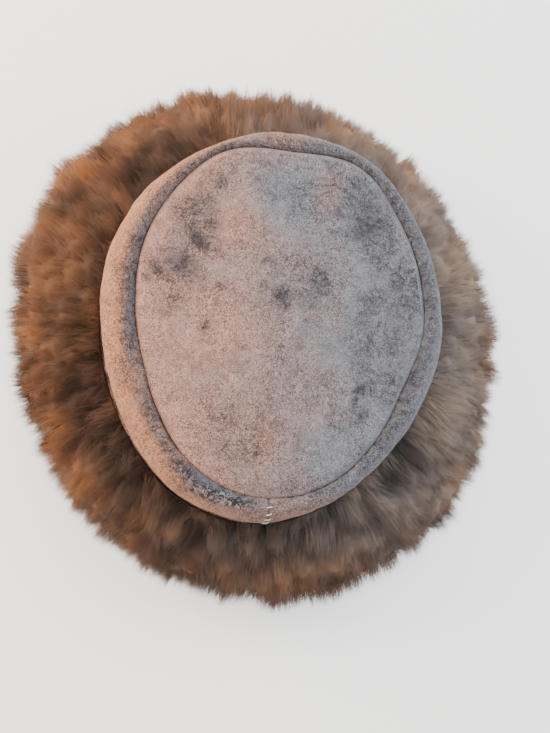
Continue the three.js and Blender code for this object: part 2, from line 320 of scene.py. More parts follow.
def around(bearing: Array, radius: Any, height: Any) -> Array:
    """Points at bearings, from their radii and heights.

    Args:
        bearing: angles from +X in degrees.
        radius: distances from the axis.
        height: heights above the surface that the hat stands on.

    Returns:
        The points, with x, y and z along the last axis.
    """
    radius, height, angle = np.broadcast_arrays(radius, height, np.radians(bearing))
    return np.stack([radius * np.cos(angle), radius * np.sin(angle), height], axis=-1)


def level(bearing: Array) -> tuple[Array, Array]:
    """The ways out from the axis and round it at bearings."""
    return around(bearing, 1.0, 0.0), around(bearing + 90.0, 1.0, 0.0)


def stack_rows(bearing: Array, *parts: Any) -> Array:
    """Rows of values one after another, each spread over all the bearings."""
    return np.concatenate([part + 0.0 * bearing for part in parts])


def grid_faces(rows: int, columns: int, first: int = 0, closed: bool = False) -> Array:
    """The corners of the faces between rows of points, each row closed on itself.

    Args:
        rows: how many rows there are.
        columns: how many points a row has.
        first: the number of the first point.
        closed: whether the last row joins the first.

    Returns:
        The points' numbers, four for each face.
    """
    row = np.arange(rows if closed else rows - 1)[:, None]
    above = (row + 1) % rows
    column = np.arange(columns)[None, :]
    after = (column + 1) % columns
    places = [(row, column), (row, after), (above, after), (above, column)]
    return first + np.stack([y * columns + x for y, x in places], axis=-1).ravel()


def turn_between(bearing: Array, other: float) -> Array:
    """The angle from one bearing to others, in degrees from -180 to 180."""
    return (bearing - other + 180.0) % 360.0 - 180.0


class Relief:
    """Smooth noise in space, always the same for one seed."""

    def __init__(self, seed: int, cells: int = 32) -> None:
        """Fills the lattice.

        Args:
            seed: the number that the noise follows from.
            cells: how many cells the lattice has each way before it repeats.
        """
        self.cells = cells
        self.lattice = np.random.default_rng(seed).uniform(-1.0, 1.0, (cells, cells, cells))

    def at(self, points: Array, spacing: float) -> Array:
        """The noise at points.

        Args:
            points: places, with x, y and z along the last axis.
            spacing: the size of one bump, in the points' own unit.

        Returns:
            One value from -1 to 1 for each point.
        """
        scaled = points / spacing
        cell = np.floor(scaled).astype(int)
        share = scaled - cell
        share = share * share * (3.0 - 2.0 * share)
        total = np.zeros(points.shape[:-1])
        for corner in np.ndindex(2, 2, 2):
            near = (cell + np.array(corner)) % self.cells
            weight = np.where(np.array(corner) == 1, share, 1.0 - share).prod(axis=-1)
            total += weight * self.lattice[near[..., 0], near[..., 1], near[..., 2]]
        return total

    def rough(self, points: Array, spacing: float, layers: int = 3) -> Array:
        """The noise at points in layers that get finer and weaker.

        Args:
            points: places, with x, y and z along the last axis.
            spacing: the size of the largest bump.
            layers: how many layers are added.

        Returns:
            One value for each point, mostly from -1 to 1.
        """
        total = np.zeros(points.shape[:-1])
        for layer in range(layers):
            shifted = points + 17.3 * layer
            total += self.at(shifted, spacing / 2.0**layer) * 0.55**layer
        return total


@dataclass(frozen=True)
class HatForm:
    """The sizes that the pieces share, in mm, and the outlines that follow from them."""

    opening_half_width: float = 87.0
    opening_half_length: float = 102.0
    skin: float = 2.5
    gap: float = 0.3
    fold: float = 3.0
    shoulder_height: float = 91.0
    ridge_rise: float = 14.0
    ridge_at: float = 0.6
    seam_drop: float = 4.0
    allowance: float = 1.5
    fleece_middle: float = 40.0
    cuff_height: float = 80.0
    fullness: float = 2.4
    lock_overhang: float = 7.0
    ground_clearance: float = 0.6
    back_seam: float = 273.0

    @property
    def ridge_height(self) -> float:
        """The height of the band's highest line."""
        return self.shoulder_height + self.ridge_rise

    @property
    def seam_height(self) -> float:
        """The height of the seam round the tip."""
        return self.ridge_height - self.seam_drop

    def plan(self, column: str, bearing: Array) -> Array:
        """A column of the plan at any bearing, on a smooth closed curve through its rows.

        Args:
            column: the name of the column.
            bearing: angles in degrees.

        Returns:
            The distance from the axis for each bearing.
        """
        table = np.array([getattr(row, column) for row in PLAN])
        place = np.asarray(bearing, float) % 360.0 / (360.0 / len(PLAN))
        row = np.floor(place).astype(int)
        t = place - row
        before, near, far, after = (table[(row + step) % len(PLAN)] for step in (-1, 0, 1, 2))
        pull = (far - before) * t + (2.0 * before - 5.0 * near + 4.0 * far - after) * t**2
        return near + 0.5 * (pull + (3.0 * (near - far) + after - before) * t**3)

    def rim(self, bearing: Array) -> Array:
        """Distance from the axis to the outside of the band at the rim."""
        angle = np.radians(bearing)
        x = np.cos(angle) / (self.opening_half_width + self.skin)
        y = np.sin(angle) / (self.opening_half_length + self.skin)
        return 1.0 / np.hypot(x, y)

    def wall(self, bearing: Array, height: Array) -> Array:
        """Distance from the axis to the outside of the band's wall, which flares towards the shoulder."""
        foot = self.fold + self.gap
        share = np.clip((height - foot) / (self.shoulder_height - foot), 0.0, 1.0)
        flare = 1.0 - (1.0 - share**1.9) ** 1.3
        return blend(self.rim(bearing), self.plan("shoulder", bearing), flare)

    def fleece(self, bearing: Array, elevation: Array, off: Any = 0.0) -> tuple[Array, Array]:
        """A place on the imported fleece, or off its surface.

        Args:
            bearing: angles in degrees.
            elevation: angles above the level in the section at each bearing.
            off: how far the place stands off the surface.

        Returns:
            The distance from the axis, and the height.
        """
        c = np.cos(np.radians(elevation))
        s = np.sin(np.radians(elevation))
        root = self.wall(bearing, self.fleece_middle) + self.gap + self.skin
        out = self.plan("fleece", bearing) - self.lock_overhang - root
        middle = self.fleece_middle
        up = np.where(s > 0, self.cuff_height - middle, middle - self.ground_clearance)
        span = (np.abs(c) / out) ** self.fullness + (np.abs(s) / up) ** self.fullness
        size = np.maximum(span ** (-1.0 / self.fullness) + off, 1.5)
        return root + size * c, middle + size * s


class Signal:
    """One output of a node, which takes part in expressions."""

    def __init__(self, graph: "Graph", socket: bpy.types.NodeSocket) -> None:
        """Wraps a socket of a graph."""
        self.graph = graph
        self.socket = socket

    def math(self, operation: str, first: Any, second: Any = 0.0, clamp: bool = False) -> "Signal":
        """A Math node.

        Args:
            operation: the node's operation.
            first: its first value or link.
            second: its second value or link.
            clamp: whether the result is kept from 0 to 1.

        Returns:
            The node's output.
        """
        settings = {"operation": operation, "use_clamp": clamp}
        return self.graph.node("ShaderNodeMath", settings, {0: first, 1: second})

    def __add__(self, other: Any) -> "Signal":
        """This plus another."""
        return self.math("ADD", self, other)

    def __radd__(self, other: Any) -> "Signal":
        """Another plus this."""
        return self.math("ADD", other, self)

    def __sub__(self, other: Any) -> "Signal":
        """This less another."""
        return self.math("SUBTRACT", self, other)

    def __rsub__(self, other: Any) -> "Signal":
        """Another less this."""
        return self.math("SUBTRACT", other, self)

    def __mul__(self, other: Any) -> "Signal":
        """This times another."""
        return self.math("MULTIPLY", self, other)

    def __rmul__(self, other: Any) -> "Signal":
        """Another times this."""
        return self.math("MULTIPLY", other, self)

    def size(self) -> "Signal":
        """This without its sign."""
        return self.math("ABSOLUTE", self)

    def clamped(self) -> "Signal":
        """This kept from 0 to 1."""
        return self.math("ADD", self, 0.0, clamp=True)

    def step(self, low: float, high: float) -> "Signal":
        """A soft step of this, from 0 at `low` to 1 at `high`."""
        settings = {"interpolation_type": "SMOOTHSTEP"}
        sockets = {"Value": self, "From Min": low, "From Max": high}
        return self.graph.node("ShaderNodeMapRange", settings, sockets)


class Graph:
    """The nodes of one material."""

    def __init__(self, name: str) -> None:
        """Starts an empty material.

        Args:
            name: the material's name.
        """
        self.material = bpy.data.materials.new(name)
        self.material.use_nodes = True
        self.tree = self.material.node_tree
        self.tree.nodes.clear()

    def node(
        self, kind: str, settings: dict | None = None, sockets: dict | None = None, out: Any = 0
    ) -> Signal:
        """Any node.

        Args:
            kind: the node's type.
            settings: its own settings, and `stops` for a ramp, as places with colours.
            sockets: values or links of its inputs, by name or number.
            out: the name or number of the output that is used.

        Returns:
            That output.
        """
        made = self.tree.nodes.new(kind)
        for name, value in (settings or {}).items():
            if name != "stops":
                setattr(made, name, value)
                continue
            for extra in value[2:]:
                made.color_ramp.elements.new(extra[0])
            for element, (place, colour) in zip(made.color_ramp.elements, value):
                element.position = place
                element.color = (*colour, 1.0)
        for name, value in (sockets or {}).items():
            target = made.inputs[name]
            if isinstance(value, Signal):
                self.tree.links.new(value.socket, target)
            elif isinstance(value, tuple) and target.type == "RGBA":
                target.default_value = (*value, 1.0)
            else:
                target.default_value = value
        return Signal(self, made.outputs[out])

    def mix(self, share: Any, first: Any, second: Any, way: str = "MIX") -> Signal:
        """A mix of two colours.

        Args:
            share: how much of the second is used.
            first: a colour or link.
            second: a colour or link.
            way: the blend type.

        Returns:
            The mixed colour.
        """
        settings = {"data_type": "RGBA", "blend_type": way}
        return self.node("ShaderNodeMix", settings, {0: share, 6: first, 7: second}, 2)

    def noise(
        self, where: Signal, per_metre: float, detail: float = 2.0, rough: float = 0.5, swirl: float = 0.0
    ) -> Signal:
        """Noise at a place.

        Args:
            where: the place, in metres.
            per_metre: how many bumps there are in a metre.
            detail: how many finer layers it has.
            rough: how strong the finer layers are.
            swirl: how far its bumps are drawn out into worms.

        Returns:
            A value round 0.
        """
        sockets = {"Vector": where, "Scale": per_metre, "Detail": detail, "Roughness": rough}
        return self.node("ShaderNodeTexNoise", {}, sockets | {"Distortion": swirl}) - 0.5

    def place(self) -> Signal:
        """The place on the object, in metres."""
        return self.node("ShaderNodeTexCoord", out="Object")

    def attribute(self, name: str) -> Signal:
        """A number that is stored on the mesh's points."""
        return self.node("ShaderNodeAttribute", {"attribute_name": name}, out="Fac")

    def strokes(self, where: Signal, turn: float, stretch: tuple[float, float, float]) -> Signal:
        """Noise drawn out into short strokes.

        Args:
            where: the place, in metres.
            turn: the strokes' turn about Z, in degrees.
            stretch: bumps in a metre across, along and through the strokes.

        Returns:
            A value round 0.
        """
        settings = {"rotation_type": "Z_AXIS"}
        turned = self.node("ShaderNodeVectorRotate", settings, {"Vector": where, "Angle": math.radians(turn)})
        scaled = self.node("ShaderNodeVectorMath", {"operation": "MULTIPLY"}, {0: turned, 1: stretch})
        return self.noise(scaled, 1.0)

    def finish(self, sockets: dict) -> bpy.types.Material:
        """Ends the material with its shader.

        Args:
            sockets: values or links of the shader's inputs, by name.

        Returns:
            The finished material.
        """
        shader = self.node("ShaderNodeBsdfPrincipled", {}, sockets)
        made = self.tree.nodes.new("ShaderNodeOutputMaterial")
        self.tree.links.new(shader.socket, made.inputs["Surface"])
        return self.material


class Noises(NamedTuple):
    """The place on the suede and its noises round 0, from the broadest to the finest."""

    where: Signal
    drift: Signal
    cloud: Signal
    patch: Signal
    speck: Signal
    grain: Signal
    nap: Signal


@dataclass(frozen=True)
class Suede:
    """Mottled, stained and crackled short-napped suede, with painted shade and light. Its scales are bumps in
    a metre.
    """

    name: str
    warm: Colour = (0.372, 0.218, 0.176)
    cool: Colour = (0.185, 0.192, 0.22)
    stain: Colour = (0.022, 0.023, 0.028)
    # The grey that the haze, painted shade included, mixes towards.
    haze: Colour = (0.072, 0.073, 0.088)
    # Painted shade in the seam crease round the tip and in the back seam's groove; the cracks take the same
    # dark colour.
    crease: Colour = (0.014, 0.012, 0.012)
    pale: Colour = (0.36, 0.37, 0.40)
    dimmest: Colour = (0.35, 0.35, 0.35)
    brightest: Colour = (1.65, 1.65, 1.65)
    drift_scale: float = 20.0
    cloud_scale: float = 42.0
    patch_scale: float = 120.0
    speck_scale: float = 430.0
    grain_scale: float = 1500.0
    wide_vein_scale: float = 58.0
    close_vein_scale: float = 120.0
    worm_scale: float = 300.0
    stroke: tuple[float, float, float] = (1400.0, 560.0, 800.0)
    stroke_turns: tuple[float, float] = (24.0, -28.0)
    haze_and_shade_share: float = 0.6
    dark_share: float = 0.82
    mottle: float = 0.8
    veined: float = 0.95
    crackle: float = 0.0
    nap_height: float = 0.0010

    def material(self) -> bpy.types.Material:
        """Makes the material.

        Returns:
            The material, which reads the mesh's `stain`, `haze`, `crease` and `warmth`. Of these,
            `haze` holds painted shade and highlight, `crease` painted shade, and `warmth` painted warm light.
        """
        graph = Graph(self.name)
        noises = self._noises(graph)
        colour = self._marked(graph, noises, self._napped(graph, noises))
        height = (noises.nap + noises.grain) * 0.5
        if self.crackle > 0.0:
            colour, cracks = self._crackled(graph, noises, colour)
            height = height - cracks * 1.5
        # Painted shade: darker where the mesh's crease shade lies, in the seam crease and in the back seam's
        # groove.
        crease_shaded = graph.attribute("crease") * (noises.speck * 0.7 + 0.6)
        colour = graph.mix(crease_shaded, colour, self.crease)
        bumps = {"Strength": 0.9, "Distance": self.nap_height, "Height": height}
        sockets = {
            "Base Color": colour,
            "Roughness": 0.95,
            "Specular IOR Level": 0.12,
            "Sheen Weight": 0.12,
            "Sheen Roughness": 0.5,
            "Sheen Tint": (0.95, 0.85, 0.8),
            "Normal": graph.node("ShaderNodeBump", {}, bumps),
        }
        return graph.finish(sockets)

    def _noises(self, graph: Graph) -> Noises:
        """The noises that the finish is mixed from, with short fibres that lie one way or the other."""
        where = graph.place()
        patch = graph.noise(where, self.patch_scale, 6.0, 0.68, 0.5)
        left, right = (graph.strokes(where, turn, self.stroke) for turn in self.stroke_turns)
        choice = patch.step(-0.08, 0.08)
        return Noises(
            where=where,
            drift=graph.noise(where, self.drift_scale),
            cloud=graph.noise(where, self.cloud_scale, 8.0, 0.66, 0.7),
            patch=patch,
            speck=graph.noise(where, self.speck_scale, 4.0, 0.7, 0.4),
            grain=graph.noise(where, self.grain_scale, 1.0, 0.6),
            nap=left * (1.0 - choice) + right * choice,
        )

    def _napped(self, graph: Graph, noises: Noises) -> Signal:
        """The colour of the clean suede, with its nap gathered in rougher and smoother places, and with
        painted warm light.
        """
        cloud = noises.cloud
        patch = noises.patch
        # The warmth holds painted warm light besides the suede's own drift and clouds.
        warmth = (graph.attribute("warmth") + noises.drift * 0.7 + cloud * 0.8).clamped()
        rough = (cloud * 2.2 + patch * 1.2 + graph.attribute("haze") * 0.4 + 0.75).clamped()
        fine = noises.nap * 1.1 + noises.grain * 3.2 + noises.speck * 2.0
        shade = (fine * rough + patch + 0.5).clamped()
        light = graph.mix(shade, self.dimmest, self.brightest)
        return graph.mix(1.0, graph.mix(warmth, self.cool, self.warm), light, "MULTIPLY")

    def _marked(self, graph: Graph, noises: Noises, colour: Signal) -> Signal:
        """The colour with its haze and painted shade, stains, flecks and veins.

        Args:
            graph: the material's nodes.
            noises: its noises.
            colour: the colour of the clean suede.

        Returns:
            The colour.
        """
        cloud = noises.cloud
        patch = noises.patch
        stained = graph.attribute("stain")
        greyed_and_shaded = graph.attribute("haze")
        # The haze holds the suede's own greying, and painted shade and painted highlight from the mesh.
        haze = (stained * 0.7 + greyed_and_shaded * 0.75 + cloud * 1.7 + patch * 1.5 + 0.06).clamped()
        ragged = noises.speck * 1.9 + noises.nap * 0.5 + patch * 2.2 + cloud * 1.6
        cover = (stained + ragged * 0.8).step(0.42, 1.25)
        flecks = (ragged + greyed_and_shaded * 0.4).step(0.65, 1.5)
        veins = self._veins(graph, noises) * (greyed_and_shaded * 1.5 + stained + cloud * 3.0 + 0.32).clamped()
        dark = (cover * 0.95 + flecks * self.mottle + veins * self.veined).clamped()
        hazy = graph.mix(haze * self.haze_and_shade_share, colour, self.haze)
        return graph.mix(dark * self.dark_share, hazy, self.stain)

    def _veins(self, graph: Graph, noises: Noises) -> Signal:
        """Thin broken lines that wander over the skin, up to 1 on a line."""
        wide = graph.noise(noises.where, self.wide_vein_scale, 5.0, 0.62, 1.0)
        away = {0: noises.where, 1: (3.1, 1.7, 0.4)}
        beside = graph.node("ShaderNodeVectorMath", {"operation": "ADD"}, away)
        close = graph.noise(beside, self.close_vein_scale, 4.0, 0.6, 0.8)
        lines = (1.0 - wide.size() * 34.0).clamped() + (1.0 - close.size() * 22.0).clamped() * 0.8
        return lines * (noises.speck * 3.0 + 0.75).clamped()

    def _crackled(self, graph: Graph, noises: Noises, colour: Signal) -> tuple[Signal, Signal]:
        """The colour with pale worms and dark cracks where the suede is stained.

        Args:
            graph: the material's nodes.
            noises: its noises.
            colour: the colour without them.

        Returns:
            The colour, and how deep the cracks are.
        """
        zone = (graph.attribute("stain") * 2.4 + noises.patch * 1.2 - 0.95).clamped() * self.crackle
        worms = graph.noise(noises.where, self.worm_scale, 3.0, 0.6, 1.8)
        cracks = zone * worms.step(0.0, 0.07)
        pale = zone * (1.0 - worms.step(-0.1, 0.0)) * 0.75
        return graph.mix(cracks, graph.mix(pale, colour, self.pale), self.crease), cracks


@dataclass(frozen=True)
class Wool:
    """Long wool, darker at its roots and rusty at its tips."""

    name: str
    root_warm: Colour = (0.026, 0.013, 0.008)
    root_cool: Colour = (0.040, 0.033, 0.032)
    middle_warm: Colour = (0.150, 0.062, 0.026)
    middle_cool: Colour = (0.185, 0.148, 0.128)
    tip_warm: Colour = (0.30, 0.115, 0.036)
    tip_cool: Colour = (0.32, 0.235, 0.175)

    def material(self) -> bpy.types.Material:
        """Makes the material.

        Returns:
            The material, which reads each strand's tint and tone from the OFBake map.
        """
        graph = Graph(self.name)
        place = graph.node("ShaderNodeUVMap", {"uv_map": "OFBake"})
        tint = graph.node("ShaderNodeSeparateXYZ", {}, {0: place}, "X")
        along = graph.node("ShaderNodeSeparateXYZ", {}, {0: place}, "Y")
        return self.shaded(graph, tint, along)

    def matted(self) -> bpy.types.Material:
        """Makes the material of the mat under the strands.

        Returns:
            The material, which reads the mesh's `tint` and `tone`.
        """
        graph = Graph(self.name)
        fibres = graph.noise(graph.place(), 420.0, 4.0, 0.6, 0.8)
        tone = graph.attribute("tone") + fibres * 0.25
        return self.shaded(graph, graph.attribute("tint"), tone)

    def shaded(self, graph: Graph, tint: Signal, along: Signal) -> bpy.types.Material:
        """Makes the material from its tint and tone.

        Args:
            graph: the material's nodes.
            tint: 0 for the greyest wool and 1 for the rustiest.
            along: 0 for the darkest wool and 1 for the palest.

        Returns:
            The material.
        """
        warm = self._ramp(graph, along, (self.root_warm, self.middle_warm, self.tip_warm))
        cool = self._ramp(graph, along, (self.root_cool, self.middle_cool, self.tip_cool))
        colour = graph.mix(tint.clamped(), cool, warm)
        sockets = {
            "Base Color": colour,
            "Roughness": 0.72,
            "Specular IOR Level": 0.25,
            "Sheen Weight": 0.12,
            "Sheen Roughness": 0.5,
        }
        return graph.finish(sockets)

    @staticmethod
    def _ramp(graph: Graph, along: Signal, colours: tuple[Colour, Colour, Colour]) -> Signal:
        """The colour along a strand.

        Args:
            graph: the material's nodes.
            along: 0 at the root and 1 at the tip.
            colours: the colours of the root, the middle and the tip.

        Returns:
            The colour.
        """
        stops = list(zip((0.05, 0.58, 1.0), colours))
        return graph.node("ShaderNodeValToRGB", {"stops": stops}, {0: along})


@dataclass(frozen=True)
class Thread:
    """Waxed white sewing thread of twisted plies."""

    name: str
    colour: Colour = (0.78, 0.76, 0.73)

    def material(self) -> bpy.types.Material:
        """Makes the material."""
        graph = Graph(self.name)
        where = graph.place()
        ply = graph.strokes(where, 40.0, (3200.0, 900.0, 900.0))
        soil = graph.noise(where, 900.0)
        colour = graph.mix((soil * 0.5 + ply * 0.3 + 0.25).clamped(), self.colour, (0.45, 0.42, 0.39))
        bump = graph.node("ShaderNodeBump", {}, {"Strength": 0.6, "Distance": 0.0002, "Height": ply})
        sockets = {"Base Color": colour, "Roughness": 0.6, "Normal": bump}
        return graph.finish(sockets)


@dataclass(frozen=True)
class Floor:
    """A pale matt studio surface."""

    name: str
    colour: Colour = (0.9, 0.9, 0.9)
    glow: float = 1.1

    def material(self) -> bpy.types.Material:
        """Makes the material."""
        graph = Graph(self.name)
        haze = graph.noise(graph.place(), 3.0)
        colour = graph.mix(haze * 0.1 + 0.05, self.colour, (0.8, 0.8, 0.81))
        sockets = {
            "Base Color": colour,
            "Roughness": 0.9,
            "Specular IOR Level": 0.1,
            "Emission Color": (1.0, 1.0, 1.0),
            "Emission Strength": self.glow,
        }
        return graph.finish(sockets)


class MeshMaker:
    """Writes mesh objects from arrays of points in mm."""

    @staticmethod
    def write(name: str, points: Array, corners: Array, sides: Array) -> Piece:
        """A mesh object from faces of any number of sides.

        Args:
            name: the object's name.
            points: the points, one row each.
            corners: the points' numbers, face after face.
            sides: how many corners each face has.

        Returns:
            The object, in the scene and shaded smooth.
        """
        mesh = bpy.data.meshes.new(name)
        mesh.vertices.add(len(points))
        mesh.vertices.foreach_set("co", (points * MM).astype(np.float32).ravel())
        mesh.loops.add(len(corners))
        mesh.loops.foreach_set("vertex_index", corners.astype(np.int32))
        mesh.polygons.add(len(sides))
        starts = np.concatenate([[0], np.cumsum(sides)[:-1]])
        mesh.polygons.foreach_set("loop_start", starts.astype(np.int32))
        mesh.polygons.foreach_set("use_smooth", np.ones(len(sides), bool))
        mesh.update(calc_edges=True)
        made = bpy.data.objects.new(name, mesh)
        bpy.context.scene.collection.objects.link(made)
        LOG.info("%s: %d points, %d faces", name, len(points), len(sides))
        return made

    @classmethod
    def tube(cls, name: str, points: Array) -> Piece:
        """A closed body from sections that run round the axis and close on themselves.

        Args:
            name: the object's name.
            points: rows of a section, by columns round the axis, by x, y and z.

        Returns:
            The object.
        """
        rows, columns = points.shape[:2]
        corners = grid_faces(rows, columns, closed=True)
        return cls.write(name, points.reshape(-1, 3), corners, np.full(rows * columns, 4))

    @classmethod
    def lens(cls, name: str, points: Array) -> Piece:
        """A closed body from sections whose first and last rows lie on the axis.

        Args:
            name: the object's name.
            points: rows of a section, by columns round the axis, by x, y and z.

        Returns:
            The object.
        """
        rows, columns = points.shape[:2]
        inner = points[1:-1].reshape(-1, 3)
        quads = grid_faces(rows - 2, columns, 1)
        column = np.arange(columns)
        after = (column + 1) % columns
        ring = 1 + (rows - 3) * columns
        start = np.stack([0 * column, 1 + after, 1 + column], axis=-1).ravel()
        end = np.stack([0 * column + len(inner) + 1, ring + column, ring + after], axis=-1).ravel()
        sides = np.concatenate([np.full(quads.size // 4, 4), np.full(2 * columns, 3)])
        ends = points[[0, -1]].mean(axis=1)
        joined = np.vstack([ends[:1], inner, ends[1:]])
        return cls.write(name, joined, np.concatenate([quads, start, end]), sides)

    @staticmethod
    def store(made: Piece, name: str, values: Array) -> None:
        """Stores a number on each point.

        Args:
            made: the object.
            name: the name that its material reads.
            values: one number for each point.
        """
        layer = made.data.attributes.new(name, "FLOAT", "POINT")
        layer.data.foreach_set("value", np.ascontiguousarray(values, np.float32))

    @staticmethod
    def points_of(made: Piece) -> Array:
        """The points of an object's mesh, in mm."""
        points = np.empty(len(made.data.vertices) * 3, np.float32)
        made.data.vertices.foreach_get("co", points)
        return points.reshape(-1, 3).astype(float) / MM


def oval(points: Array, patch: Stain | Cloud, reach: float, power: float) -> Array:
    """How far inside a patch points lie.

    Args:
        points: places in mm.
        patch: the patch.
        reach: how many times its own half sizes it reaches.
        power: how steeply it falls off.

    Returns:
        1 at its middle, falling to 0 outside.
    """
    angle = math.radians(patch.turn)
    x = points[:, 0] - patch.x
    y = points[:, 1] - patch.y
    along = (x * math.cos(angle) + y * math.sin(angle)) / (reach * patch.half_length)
    across = (y * math.cos(angle) - x * math.sin(angle)) / (reach * patch.half_width)
    return np.exp(-((along**2 + across**2) ** power))


def stain_at(points: Array, stains: tuple[Stain, ...]) -> Array:
    """How stained the suede is at points, from 0 for clean suede up to about 1."""
    total = np.zeros(len(points))
    for stain in stains:
        total = np.maximum(total, stain.depth * oval(points, stain, 1.25, 1.2))
    return total


def clouds_at(points: Array, clouds: tuple[Cloud, ...]) -> tuple[Array, Array]:
    """How much greyer and how much warmer the broad patches make the suede at points."""
    grey = np.zeros(len(points))
    warmth = np.zeros(len(points))
    for cloud in clouds:
        share = oval(points, cloud, 1.0, 1.3)
        grey += cloud.grey * share
        warmth += cloud.warmth * share
    return grey, warmth


def seam_shade(bearing: Array) -> Array:
    """How dark the painted shade in the seam round the tip is at bearings."""
    return np.interp(bearing % 360.0, [row.bearing for row in SEAM_SHADE], [row.dark for row in SEAM_SHADE])


@dataclass
class Wear:
    """What the suede finish reads from a mesh, painted shade and light among it: numbers for each of its
    points, or one for them all.
    """

    stains: tuple[Stain, ...] = ()
    # The crease shade is painted shade; the grey carries painted shade and highlight, and the warmth painted
    # warm light, besides the suede's own patches.
    crease: Any = 0.0
    grey: Any = 0.0
    warmth: Any = 0.0
    base_warmth: float = 0.42
    warmth_length: float = 115.0
    stained_from: float = 60.0
    stained_to: float = 90.0

    def store(self, made: Piece) -> None:
        """Stores the numbers on a mesh.

        Args:
            made: the object.
        """
        points = MeshMaker.points_of(made)
        plain = np.zeros(len(points))
        outer = smooth(points[:, 2], self.stained_from, self.stained_to)
        MeshMaker.store(made, "stain", stain_at(points, self.stains) * outer)
        MeshMaker.store(made, "crease", plain + self.crease)
        MeshMaker.store(made, "haze", plain + self.grey)
        # Warmer towards -X: partly the suede's own drift and partly painted warm light from the key on that
        # side.
        drift_and_left_light = -points[:, 0] / self.warmth_length - points[:, 1] / 900.0
        warmth = self.base_warmth + drift_and_left_light + self.warmth
        MeshMaker.store(made, "warmth", np.clip(warmth, -0.3, 1.2))


def dress(made: Piece, material: bpy.types.Material, node: str) -> None:
    """Gives a piece its finish and its place in the frame.

    Args:
        made: the piece.
        material: its material.
        node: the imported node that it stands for.
    """
    made.data.materials.append(material)
    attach(made, "root")
    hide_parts(node)


